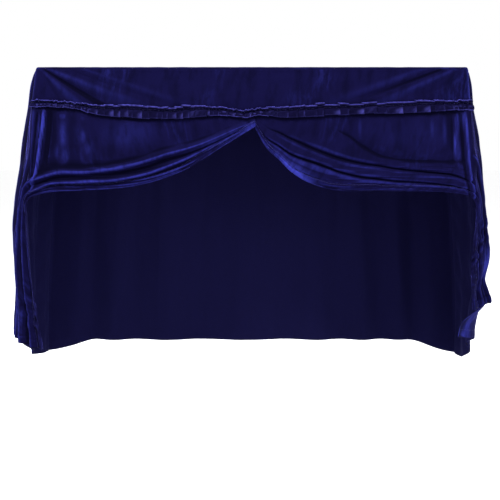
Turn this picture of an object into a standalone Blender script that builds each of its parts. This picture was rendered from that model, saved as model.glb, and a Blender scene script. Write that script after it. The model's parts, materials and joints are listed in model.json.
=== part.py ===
"""Velvet cover for an upright piano, in the shape in which it hangs on the instrument.

The cover is a top panel with a skirt sewn round it: a back, two sides and a shallow front yoke. Two curtains
hang from the yoke behind a ruched trim. Both are swept outwards in long folds, turn the corner where the
piano's arm holds them, and fall down its side. The cover is hollow and open below.

Metres, +Z up, X along the keyboard and -Y towards the player. The origin is the middle of the top panel's
underside, which lies on the piano's lid. Distances down from there are called drop, and distances from the
middle plane are called out.
"""

import math
from bisect import bisect_right
from functools import partial
from typing import Callable, NamedTuple

import bpy

# The cloth and its seams.
CLOTH = 0.002
SEAM_GAP = 0.0004
SIDE_GAP = 0.0005
TRIM_CLOTH = 0.0014

# The piano's lid, which the top panel fits.
LID_WIDTH = 1.532
LID_DEPTH = 0.380
CORNER_RADIUS = 0.012
EDGE_RADIUS = 0.006

# The middle of the wall's thickness, at the top.
WALL_OUT = LID_WIDTH / 2 + CLOTH / 2
WALL_FRONT = -LID_DEPTH / 2 - CLOTH / 2
WALL_BACK = LID_DEPTH / 2 + CLOTH / 2
SEAM_FRONT = WALL_FRONT + CORNER_RADIUS
SEAM_BACK = WALL_BACK - CORNER_RADIUS
WALL_START = EDGE_RADIUS + SEAM_GAP
CORNER_RUN = CORNER_RADIUS * math.pi / 2
STRAIGHT_RUN = 2 * (WALL_OUT - CORNER_RADIUS)
WALL_RUN = STRAIGHT_RUN + 2 * CORNER_RUN

# Where the left and right curtains meet under the yoke.
PARTING = 0.012

Point = tuple[float, float, float]


class Seam(NamedTuple):
    """One height of a front corner seam: how far the cloth has swung out there."""

    drop: float
    swing: float


class Waist(NamedTuple):
    """One place along the line where the curtains are sewn to the yoke."""

    x: float
    drop: float


class Trim(NamedTuple):
    """One place along the ruched trim: its upper and lower edge."""

    x: float
    top: float
    bottom: float


class Edge(NamedTuple):
    """One place along a curtain's free edge. along is 0 at the parting, 1 at the arm and 2 at the hem."""

    along: float
    out: float
    forward: float
    drop: float


class Fold(NamedTuple):
    """One place along a fold. across is 0 at the yoke or the seam and 1 at the curtain's free edge."""

    along: float
    across: float
    height: float
    width: float


class Pucker(NamedTuple):
    """A soft ridge in the yoke that runs down and inwards from the lid's corner."""

    slant: float
    height: float


class Pleat(NamedTuple):
    """A soft pleat that falls from the yoke, by its place along the curtain and its lean as it falls."""

    along: float
    lean: float
    width: float
    height: float
    reach: float


SEAM_LEFT = (
    Seam(0.00, 0.000),
    Seam(0.12, 0.017),
    Seam(0.22, 0.032),
    Seam(0.33, 0.047),
    Seam(0.43, 0.060),
    Seam(0.52, 0.070),
    Seam(0.60, 0.076),
    Seam(0.70, 0.074),
    Seam(0.80, 0.072),
    Seam(0.95, 0.082),
    Seam(1.15, 0.086),
)
SEAM_RIGHT = (
    Seam(0.00, 0.000),
    Seam(0.12, 0.012),
    Seam(0.22, 0.028),
    Seam(0.33, 0.044),
    Seam(0.45, 0.058),
    Seam(0.54, 0.068),
    Seam(0.64, 0.074),
    Seam(0.73, 0.062),
    Seam(0.78, 0.072),
    Seam(0.83, 0.082),
    Seam(0.90, 0.056),
    Seam(0.98, 0.040),
    Seam(1.15, 0.036),
)
WAIST = (
    Waist(-0.790, 0.124),
    Waist(-0.700, 0.126),
    Waist(-0.600, 0.137),
    Waist(-0.500, 0.151),
    Waist(-0.380, 0.157),
    Waist(-0.250, 0.156),
    Waist(-0.110, 0.153),
    Waist(0.000, 0.154),
    Waist(0.120, 0.157),
    Waist(0.240, 0.147),
    Waist(0.420, 0.144),
    Waist(0.600, 0.136),
    Waist(0.790, 0.130),
)
TRIM = (
    Trim(-0.774, 0.113, 0.138),
    Trim(-0.690, 0.116, 0.139),
    Trim(-0.610, 0.124, 0.146),
    Trim(-0.550, 0.131, 0.165),
    Trim(-0.440, 0.132, 0.175),
    Trim(-0.330, 0.139, 0.180),
    Trim(-0.200, 0.135, 0.175),
    Trim(-0.120, 0.139, 0.168),
    Trim(-0.030, 0.149, 0.176),
    Trim(0.030, 0.142, 0.168),
    Trim(0.110, 0.139, 0.176),
    Trim(0.230, 0.127, 0.171),
    Trim(0.400, 0.124, 0.164),
    Trim(0.560, 0.117, 0.158),
    Trim(0.690, 0.115, 0.151),
    Trim(0.774, 0.114, 0.149),
)
PLEATS_IN_TRIM = 34
PLEAT_DEPTH = 0.0045
PUCKERS = (Pucker(1.1, 0.0030), Pucker(2.2, 0.0035), Pucker(4.2, 0.0025))

EDGE_LEFT = (
    Edge(0.00, -0.012, 0.004, 0.206),
    Edge(0.07, 0.043, 0.006, 0.238),
    Edge(0.16, 0.110, 0.008, 0.280),
    Edge(0.26, 0.188, 0.008, 0.330),
    Edge(0.34, 0.250, 0.010, 0.364),
    Edge(0.46, 0.350, 0.014, 0.400),
    Edge(0.60, 0.462, 0.022, 0.422),
    Edge(0.78, 0.604, 0.044, 0.430),
    Edge(0.92, 0.714, 0.082, 0.436),
    Edge(1.00, 0.766, 0.112, 0.458),
    Edge(1.12, 0.770, 0.136, 0.520),
    Edge(1.35, 0.764, 0.148, 0.640),
    Edge(1.65, 0.748, 0.152, 0.810),
    Edge(2.00, 0.722, 0.150, 0.984),
)
EDGE_RIGHT = (
    Edge(0.00, 0.013, 0.002, 0.214),
    Edge(0.05, 0.052, 0.006, 0.280),
    Edge(0.11, 0.100, 0.008, 0.326),
    Edge(0.17, 0.146, 0.008, 0.370),
    Edge(0.26, 0.216, 0.010, 0.409),
    Edge(0.38, 0.310, 0.014, 0.431),
    Edge(0.60, 0.478, 0.024, 0.433),
    Edge(0.80, 0.632, 0.048, 0.433),
    Edge(0.93, 0.730, 0.086, 0.440),
    Edge(1.00, 0.766, 0.112, 0.458),
    Edge(1.12, 0.770, 0.136, 0.510),
    Edge(1.35, 0.766, 0.148, 0.600),
    Edge(1.65, 0.762, 0.150, 0.710),
    Edge(2.00, 0.768, 0.140, 0.846),
)

# Each fold is one row of places from the parting to the hem. A height below zero is a furrow.
FOLDS_LEFT = (
    (
        Fold(0.00, 0.24, 0.000, 0.12),
        Fold(0.95, 0.34, 0.000, 0.12),
        Fold(1.12, 0.34, 0.009, 0.12),
        Fold(1.50, 0.30, 0.014, 0.13),
        Fold(2.00, 0.30, 0.018, 0.14),
    ),
    (
        Fold(0.00, 0.46, 0.005, 0.20),
        Fold(0.18, 0.48, 0.013, 0.11),
        Fold(0.39, 0.45, 0.015, 0.09),
        Fold(0.56, 0.52, 0.016, 0.08),
        Fold(0.74, 0.60, 0.016, 0.075),
        Fold(0.88, 0.62, 0.017, 0.07),
        Fold(1.00, 0.66, 0.018, 0.08),
        Fold(1.30, 0.56, 0.018, 0.12),
        Fold(1.60, 0.54, 0.018, 0.14),
        Fold(2.00, 0.56, 0.020, 0.15),
    ),
    (
        Fold(0.00, 0.70, 0.003, 0.12),
        Fold(0.30, 0.63, 0.009, 0.07),
        Fold(0.50, 0.69, 0.011, 0.06),
        Fold(0.70, 0.765, 0.012, 0.055),
        Fold(0.90, 0.775, 0.012, 0.055),
        Fold(1.00, 0.82, 0.012, 0.065),
        Fold(1.30, 0.79, 0.014, 0.10),
        Fold(1.60, 0.80, 0.014, 0.11),
        Fold(2.00, 0.82, 0.014, 0.12),
    ),
    (
        Fold(0.00, 1.00, 0.004, 0.20),
        Fold(0.30, 1.00, 0.008, 0.13),
        Fold(0.60, 1.00, 0.010, 0.11),
        Fold(1.00, 1.00, 0.010, 0.11),
        Fold(2.00, 1.00, 0.006, 0.10),
    ),
    (
        Fold(0.00, 0.85, 0.002, 0.40),
        Fold(0.30, 0.80, 0.010, 0.40),
        Fold(0.70, 0.85, 0.014, 0.32),
        Fold(1.00, 0.85, 0.012, 0.36),
        Fold(1.40, 0.60, 0.004, 0.50),
        Fold(2.00, 0.60, 0.002, 0.50),
    ),
)
FOLDS_RIGHT = (
    (
        Fold(0.00, 0.10, 0.000, 0.10),
        Fold(0.30, 0.12, 0.000, 0.10),
        Fold(0.42, 0.20, -0.004, 0.14),
        Fold(0.50, 0.30, -0.008, 0.14),
        Fold(0.58, 0.39, -0.008, 0.13),
        Fold(0.68, 0.44, -0.007, 0.11),
        Fold(0.82, 0.46, -0.006, 0.10),
        Fold(0.95, 0.44, -0.004, 0.10),
        Fold(1.03, 0.34, 0.000, 0.10),
        Fold(1.15, 0.26, 0.010, 0.12),
        Fold(1.50, 0.24, 0.014, 0.13),
        Fold(2.00, 0.24, 0.016, 0.14),
    ),
    (
        Fold(0.00, 0.28, -0.002, 0.10),
        Fold(0.15, 0.29, -0.010, 0.06),
        Fold(0.30, 0.37, -0.013, 0.055),
        Fold(0.45, 0.455, -0.014, 0.05),
        Fold(0.60, 0.52, -0.014, 0.05),
        Fold(0.74, 0.58, -0.014, 0.05),
        Fold(0.88, 0.615, -0.015, 0.05),
        Fold(1.00, 0.66, -0.014, 0.06),
        Fold(1.30, 0.54, -0.014, 0.09),
        Fold(2.00, 0.48, -0.016, 0.10),
    ),
    (
        Fold(0.00, 0.54, -0.003, 0.08),
        Fold(0.12, 0.52, -0.012, 0.055),
        Fold(0.27, 0.515, -0.014, 0.05),
        Fold(0.45, 0.625, -0.014, 0.05),
        Fold(0.64, 0.715, -0.013, 0.05),
        Fold(0.85, 0.775, -0.012, 0.05),
        Fold(1.00, 0.83, -0.010, 0.055),
        Fold(1.30, 0.76, -0.012, 0.08),
        Fold(2.00, 0.74, -0.014, 0.10),
    ),
    (
        Fold(0.00, 0.60, 0.004, 0.50),
        Fold(0.20, 0.62, 0.016, 0.46),
        Fold(0.60, 0.74, 0.020, 0.40),
        Fold(1.00, 0.82, 0.018, 0.34),
        Fold(1.40, 0.60, 0.006, 0.50),
        Fold(2.00, 0.60, 0.002, 0.50),
    ),
)
PLEATS_LEFT = (
    Pleat(0.946, 0.085, 0.020, 0.012, 1.00),
    Pleat(0.862, 0.010, 0.034, 0.006, 0.80),
    Pleat(0.775, -0.040, 0.040, 0.004, 0.70),
)
PLEATS_RIGHT = (
    Pleat(0.985, 0.000, 0.018, 0.006, 1.40),
    Pleat(0.956, 0.010, 0.020, -0.008, 1.20),
    Pleat(0.830, 0.000, 0.040, 0.003, 0.60),
)

# How finely each piece is divided, and the rows of a curtain's grid that its three main folds take.
GUIDE_ROWS = (7 / 24, 13 / 24, 18 / 24)
CURTAIN_FRONT_STEPS = 24
CURTAIN_TAIL_STEPS = 12
CURTAIN_ROWS = 24
SIDE_STEPS = 12
SIDE_END_ROWS = 2
BACK_STEPS = 34
BACK_ROWS = 8
YOKE_ROWS = 4
TRIM_ROWS = [0.0, 0.40, 0.72, 1.0]
ARC_STEPS = 3

VELVET_BLUE = (0.012, 0.011, 0.13, 1.0)
VELVET_ROUGHNESS = 0.85


def smooth(low: float, high: float, value: float) -> float:
    """0 below low and 1 above high, with an even ease between."""
    t = min(1.0, max(0.0, (value - low) / (high - low)))
    return t * t * (3 - 2 * t)


def mix(a: float, b: float, share: float) -> float:
    """A value share of the way from a to b."""
    return a + (b - a) * share


def read(rows: tuple, key: float, column: int) -> float:
    """A column of a table at key, its first column, on a smooth curve through the rows."""
    keys = [row[0] for row in rows]
    key = min(max(key, keys[0]), keys[-1])
    i = min(max(bisect_right(keys, key) - 1, 0), len(rows) - 2)
    step = keys[i + 1] - keys[i]
    t = (key - keys[i]) / step

    def slope(k: int) -> float:
        low, high = max(k - 1, 0), min(k + 1, len(rows) - 1)
        return (rows[high][column] - rows[low][column]) / (keys[high] - keys[low])

    start, end = rows[i][column], rows[i + 1][column]
    leave, arrive = slope(i) * step, slope(i + 1) * step
    return (
        (2 * t**3 - 3 * t**2 + 1) * start
        + (t**3 - 2 * t**2 + t) * leave
        + (3 * t**2 - 2 * t**3) * end
        + (t**3 - t**2) * arrive
    )


def bump(distance: float, width: float) -> float:
    """A rounded hump, 1 in its middle and 0 from width on."""
    share = min(1.0, abs(distance) / width)
    return math.cos(math.pi / 2 * share) ** 2


def seam_point(side: int, drop: float) -> Point:
    """A point of the front corner seam on that side, -1 left or 1 right."""
    swing = read(SEAM_LEFT if side < 0 else SEAM_RIGHT, drop, 1)
    lean = 0.010 * smooth(0.20, 0.80, drop)
    return side * (WALL_OUT + swing), SEAM_FRONT - lean, -drop


def back_seam_point(side: int, drop: float) -> Point:
    """A point of the back corner seam on that side."""
    swing = 0.058 * smooth(0.05, 1.05, drop)
    lean = 0.030 * smooth(0.10, 1.10, drop)
    return side * (WALL_OUT + swing), SEAM_BACK + lean, -drop


def yoke_plan(share: float) -> tuple[float, float, float]:
    """The front wall's line at the top edge, from the left seam (0) to the right one (1).

    Returns the place across and forward, and how much of the corner seams' swing it takes.
    """
    side = -1 if share < 0.5 else 1
    from_seam = min(share, 1 - share) * WALL_RUN
    if from_seam < CORNER_RUN:
        turn = from_seam / CORNER_RADIUS
        out = WALL_OUT - CORNER_RADIUS * (1 - math.cos(turn))
        forward = SEAM_FRONT - CORNER_RADIUS * math.sin(turn)
        return side * out, forward, 1.0
    x = share * WALL_RUN - CORNER_RUN - STRAIGHT_RUN / 2
    return x, WALL_FRONT, smooth(0.55, 1.0, abs(x) / (WALL_OUT - CORNER_RADIUS))


def front_wall(share: float, drop: float) -> Point:
    """A point of the front wall, share of the way from the left seam to the right one."""
    x, y, pull = yoke_plan(share)
    side = -1 if share < 0.5 else 1
    seam = seam_point(side, drop)
    swing, back = abs(seam[0]) - WALL_OUT, seam[1] - SEAM_FRONT
    lean = 0.007 * smooth(0.0, 0.14, drop)
    return x + side * swing * pull, y + mix(-lean, back, pull), -drop


def outward(share: float) -> tuple[float, float]:
    """The direction out of the front wall, seen from above."""
    from_seam = min(share, 1 - share) * WALL_RUN
    turn = min(from_seam / CORNER_RADIUS, math.pi / 2)
    return (-1 if share < 0.5 else 1) * math.cos(turn), -math.sin(turn)


def waist_drop(share: float) -> float:
    """How far below the lid the yoke ends, share of the way from the left seam."""
    return read(WAIST, yoke_plan(share)[0], 1)


def yoke_point(share: float, down: float) -> Point:
    """A point of the yoke, with the soft pulls that run in from the lid's corners."""
    drop = mix(WALL_START, waist_drop(share) - SEAM_GAP / 2, down)
    x, y, z = front_wall(share, drop)
    plain_x = abs(yoke_plan(share)[0])
    from_corner = WALL_OUT - plain_x
    pull = 0.0
    for pucker in PUCKERS:
        pull += pucker.height * bump(from_corner - pucker.slant * drop - 0.02, 0.02 + 0.35 * drop)
    trim = read(TRIM, math.copysign(plain_x, x), 1)
    pull *= smooth(0.0, 0.05, drop) * (1 - smooth(trim - 0.035, trim - 0.006, drop))
    return x, y - pull * smooth(0.01, 0.05, from_corner), z


class Curtain:
    """One swept curtain: its tables, and the point at a place along and across it."""

    def __init__(self, side: int, edge: tuple, folds: tuple, pleats: tuple, seam_end: float):
        self.side = side
        self.edge = edge
        self.folds = folds
        self.pleats = pleats
        self.seam_end = seam_end

    def across(self, along: float, row: float) -> float:
        """The place across the curtain of a row of the grid, which runs along the three main folds."""
        places = [0.0] + [read(fold, along, 1) for fold in self.folds[:3]] + [1.0]
        rows = (0.0,) + GUIDE_ROWS + (1.0,)
        i = min(max(bisect_right(rows, row) - 1, 0), len(rows) - 2)
        return mix(places[i], places[i + 1], (row - rows[i]) / (rows[i + 1] - rows[i]))

    def sewn_point(self, along: float) -> Point:
        """The sewn border: under the yoke up to along 1, then down the corner seam."""
        parting = 0.5 + (PARTING + self.side * SEAM_GAP) / WALL_RUN
        share = mix(parting, 0.0 if self.side < 0 else 1.0, min(along, 1.0))
        start = waist_drop(share) + SEAM_GAP / 2
        if along <= 1.0:
            return front_wall(share, start)
        return seam_point(self.side, mix(start, self.seam_end, along - 1.0))

    def free_point(self, along: float) -> Point:
        """The free border: the swept edge up to along 1, then the tail's front edge."""
        out = read(self.edge, along, 1)
        forward = read(self.edge, along, 2)
        return self.side * out, WALL_FRONT - 0.007 - forward, -read(self.edge, along, 3)

    def relief(self, along: float, across: float) -> float:
        """How far the folds lift the cloth."""
        height = 0.0
        for fold in self.folds:
            place, size, width = (read(fold, along, c) for c in (1, 2, 3))
            height += size * bump(across - place, width)
        for pleat in self.pleats:
            fade = 1 - smooth(pleat.reach - 0.45, pleat.reach, across)
            height += pleat.height * bump(along - pleat.along - pleat.lean * across, pleat.width) * fade
        return height * smooth(0.0, 0.10, across) * (0.35 + 0.65 * smooth(0.0, 0.10, along))

    def point(self, along: float, row: float) -> Point:
        """A point of the curtain's middle surface."""
        across = self.across(along, row)
        sewn, free = self.sewn_point(along), self.free_point(along)
        in_tail = smooth(0.95, 1.5, along)
        down = mix(1 - (1 - across) ** 1.7, across, in_tail)
        at_corner = smooth(0.88, 1.0, along)
        x = mix(sewn[0], free[0], mix(mix(down, down**2, at_corner), across**2, in_tail))
        y = mix(sewn[1], free[1], mix(mix(down**1.6, down, at_corner), across, in_tail))
        z = mix(sewn[2], free[2], down)
        turn = math.radians(52) * smooth(0.90, 1.10, along)
        lift = self.relief(along, across)
        if along < 1.0:
            trim = read(TRIM, x, 2)
            lift *= smooth(trim + 0.001, trim + 0.028, -z)
        return x + self.side * math.sin(turn) * lift, y - math.cos(turn) * lift, z


def side_hem(side: int, back: float) -> float:
    """How far down a side panel reaches, from the front seam (back 0) to the back seam (back 1)."""
    return mix(0.965, 1.115, smooth(0.0, 1.0, back)) + 0.010 * math.sin(9.0 * back + 1.4 - 0.8 * side)


def side_point(side: int, back: float, share: float) -> Point:
    """A point of a side panel, share of the way down to its hem."""
    drop = mix(WALL_START, side_hem(side, back), share)
    front, rear = seam_point(side, drop), back_seam_point(side, drop)
    x, y = mix(front[0], rear[0], smooth(0.0, 1.0, back)), mix(front[1] + SIDE_GAP, rear[1], back)
    inner = smooth(0.0, 0.16, back) * smooth(0.0, 0.2, 1 - back)
    billow = (0.024 - 0.004 * side) * smooth(0.0, 0.13, drop) * (1 - 0.5 * smooth(0.50, 0.80, drop))
    phase = 2 * math.pi * (3.2 * back + 0.12 * side)
    fold = 0.012 * smooth(0.12, 1.0, drop) * (1 + math.sin(phase))
    return x + side * inner * (billow + fold), y, -drop


def side_rows(curtain: Curtain) -> list[float]:
    """Shares of a side panel's height, at the same heights along its seam as the panels in front of it."""
    waist = curtain.sewn_point(1.0)[2]
    drops = evenly(YOKE_ROWS, WALL_START, -waist)
    drops += [-curtain.sewn_point(along)[2] for along in evenly(CURTAIN_TAIL_STEPS, 1.0, 2.0)[1:]]
    hem = side_hem(curtain.side, 0.0)
    drops += evenly(SIDE_END_ROWS, curtain.seam_end, hem)[1:]
    return [(drop - WALL_START) / (hem - WALL_START) for drop in drops]


def back_point(share: float, down: float) -> Point:
    """A point of the back panel, from the left back seam to the right one, round both corners."""
    side = -1 if share < 0.5 else 1
    from_seam = min(share, 1 - share) * WALL_RUN
    hem = mix(side_hem(side, 1.0), 1.060, smooth(0.0, 0.20, from_seam))
    drop = mix(WALL_START, hem, down)
    seam = back_seam_point(side, drop)
    swing, lean = abs(seam[0]) - WALL_OUT, seam[1] - SEAM_BACK + SEAM_GAP
    if from_seam < CORNER_RUN:
        turn = from_seam / CORNER_RADIUS
        out = WALL_OUT - CORNER_RADIUS * (1 - math.cos(turn)) + swing
        return side * out, SEAM_BACK + CORNER_RADIUS * math.sin(turn) + lean, -drop
    x = (share * WALL_RUN - CORNER_RUN - STRAIGHT_RUN / 2) * (1 + swing / (STRAIGHT_RUN / 2))
    depth = 0.012 * smooth(0.15, 1.0, drop) * smooth(0.02, 0.16, from_seam)
    phase = 2 * math.pi * (8.0 * share + 0.5 * math.sin(7 * share))
    return x, WALL_BACK + lean + depth * (1 + math.sin(phase)), -drop


def trim_point(share: float, down: float) -> Point:
    """A point of the ruched trim: shallow pleats that lap to the right, stitched along their middle."""
    plain_x = yoke_plan(share)[0]
    drop = mix(read(TRIM, plain_x, 1), read(TRIM, plain_x, 2), down)
    place = (share * PLEATS_IN_TRIM) % 1.0
    step = min(place / 0.75, (1 - place) / 0.25)
    flare = (2 * down - 0.8) ** 2
    lift = 0.001 + 0.003 * flare + PLEAT_DEPTH * step * (0.35 + 0.65 * min(flare, 1.0))
    lift += (CLOTH + TRIM_CLOTH) / 2 + SEAM_GAP
    x, y, z = front_wall(share, drop)
    out_x, out_y = outward(share)
    return x + out_x * lift, y + out_y * lift, z


def velvet() -> bpy.types.Material:
    """The cover's one cloth: deep blue velvet."""
    material = bpy.data.materials.new("blue_velvet")
    material.use_nodes = True
    shader = material.node_tree.nodes["Principled BSDF"]
    shader.inputs["Base Color"].default_value = VELVET_BLUE
    shader.inputs["Roughness"].default_value = VELVET_ROUGHNESS
    shader.inputs["Metallic"].default_value = 0.0
    return material


def cloth(
    name: str, points: list[Point], faces: list, thickness: float, material: bpy.types.Material
) -> bpy.types.Object:
    """A sheet of cloth, thickened evenly to both sides of its middle surface."""
    mesh = bpy.data.meshes.new(name)
    mesh.from_pydata(points, [], faces)
    mesh.materials.append(material.copy())
    mesh.materials[0].name = f"{name}_velvet"
    sheet = bpy.data.objects.new(name, mesh)
    bpy.data.collections["piano_cover"].objects.link(sheet)
    triangles = sheet.modifiers.new("diagonals", "TRIANGULATE")
    triangles.quad_method = "SHORTEST_DIAGONAL"
    solid = sheet.modifiers.new("cloth_thickness", "SOLIDIFY")
    solid.thickness = thickness
    solid.offset = 0.0
    return sheet


def panel(
    name: str,
    point: Callable[[float, float], Point],
    columns: list[float],
    rows: list[float],
    thickness: float,
    material: bpy.types.Material,
) -> bpy.types.Object:
    """A panel of cloth whose middle surface is a grid of points."""
    points = [point(c, r) for c in columns for r in rows]
    count = len(rows)
    faces = [
        (c * count + r, (c + 1) * count + r, (c + 1) * count + r + 1, c * count + r + 1)
        for c in range(len(columns) - 1)
        for r in range(count - 1)
    ]
    return cloth(name, points, faces, thickness, material)


def evenly(steps: int, low: float = 0.0, high: float = 1.0) -> list[float]:
    """steps + 1 values from low to high."""
    return [mix(low, high, i / steps) for i in range(steps + 1)]


def round_both_corners(steps: int) -> list[float]:
    """Shares of a wall's line, with extra ones round the corner at each end."""
    corner = CORNER_RUN / WALL_RUN
    start, end = evenly(ARC_STEPS, 0.0, corner), evenly(ARC_STEPS, 1 - corner, 1.0)
    return start[:-1] + evenly(steps, corner, 1 - corner) + end[1:]


def across_front() -> list[float]:
    """Places along a curtain's front half, closer together where it turns the corner."""
    corner = 1 - CORNER_RUN / (WALL_RUN / 2)
    return evenly(CURTAIN_FRONT_STEPS, 0.0, corner)[:-1] + evenly(ARC_STEPS, corner, 1.0)


def along_curtain() -> list[float]:
    """Places along a whole curtain."""
    return across_front()[:-1] + evenly(CURTAIN_TAIL_STEPS, 1.0, 2.0)


def across_yoke() -> list[float]:
    """Shares of the front wall's line, at the same places as the curtains sewn under it."""
    parting = 0.5 + PARTING / WALL_RUN
    left = [mix(parting, 0.0, along) for along in reversed(across_front())]
    return left[:-1] + [mix(parting, 1.0, along) for along in across_front()]


def rim_ring(inset: float, height: float) -> list[Point]:
    """The lid's outline with its rounded corners, drawn in by inset."""
    points = []
    for x, y, start in ((1, 1, 0), (-1, 1, 90), (-1, -1, 180), (1, -1, 270)):
        for angle in evenly(ARC_STEPS, math.radians(start), math.radians(start + 90)):
            out = (WALL_OUT - CORNER_RADIUS) * x + (CORNER_RADIUS - inset) * math.cos(angle)
            back = (WALL_BACK - CORNER_RADIUS) * y + (CORNER_RADIUS - inset) * math.sin(angle)
            points.append((out, back, height))
    return points


def top_panel(material: bpy.types.Material) -> bpy.types.Object:
    """The top panel: flat on the lid, with its rim turned down over the lid's edge."""
    radius = EDGE_RADIUS + CLOTH / 2
    points = []
    for angle in evenly(ARC_STEPS, 0.0, math.pi / 2):
        points += rim_ring(radius * (1 - math.cos(angle)), radius * math.sin(angle) - EDGE_RADIUS)
    count = 4 * (ARC_STEPS + 1)
    faces = [
        (r * count + i, r * count + (i + 1) % count, (r + 1) * count + (i + 1) % count, (r + 1) * count + i)
        for r in range(ARC_STEPS)
        for i in range(count)
    ]
    faces.append(tuple(range(ARC_STEPS * count, (ARC_STEPS + 1) * count)))
    return cloth("top_panel", points, faces, CLOTH, material)


def main() -> None:
    """Clears the scene and builds the cover."""
    for thing in list(bpy.data.objects):
        bpy.data.objects.remove(thing)
    bpy.context.scene.collection.children.link(bpy.data.collections.new("piano_cover"))
    material = velvet()
    top_panel(material)
    panel("front_yoke", yoke_point, across_yoke(), evenly(YOKE_ROWS), CLOTH, material)
    trim_ends = evenly(4 * PLEATS_IN_TRIM)
    panel("ruched_trim", trim_point, trim_ends, TRIM_ROWS, TRIM_CLOTH, material)
    left = Curtain(-1, EDGE_LEFT, FOLDS_LEFT, PLEATS_LEFT, 0.950)
    right = Curtain(1, EDGE_RIGHT, FOLDS_RIGHT, PLEATS_RIGHT, 0.832)
    for name, curtain in (("curtain_left", left), ("curtain_right", right)):
        panel(name, curtain.point, along_curtain(), evenly(CURTAIN_ROWS), CLOTH, material)
    for name, curtain in (("side_left", left), ("side_right", right)):
        place = partial(side_point, curtain.side)
        panel(name, place, evenly(SIDE_STEPS), side_rows(curtain), CLOTH, material)
    panel("back_panel", back_point, round_both_corners(BACK_STEPS), evenly(BACK_ROWS), CLOTH, material)


main()
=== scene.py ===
"""Dresses the velvet cover of an upright piano.

The cover is a top panel with a skirt sewn round it. Its front is a shallow yoke, a ruched trim and two
curtains that are swept outwards in long folds. Every panel is a sheet of velvet whose middle surface is a
grid of points. It takes its shape as it hangs, with its folds and small creases. Then the curtains, the
sides and the back settle, and last comes the relief of their hems.

Metres, +Z up, X along the keyboard and -Y towards the player. The origin is the middle of the top panel's
underside.
"""

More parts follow.
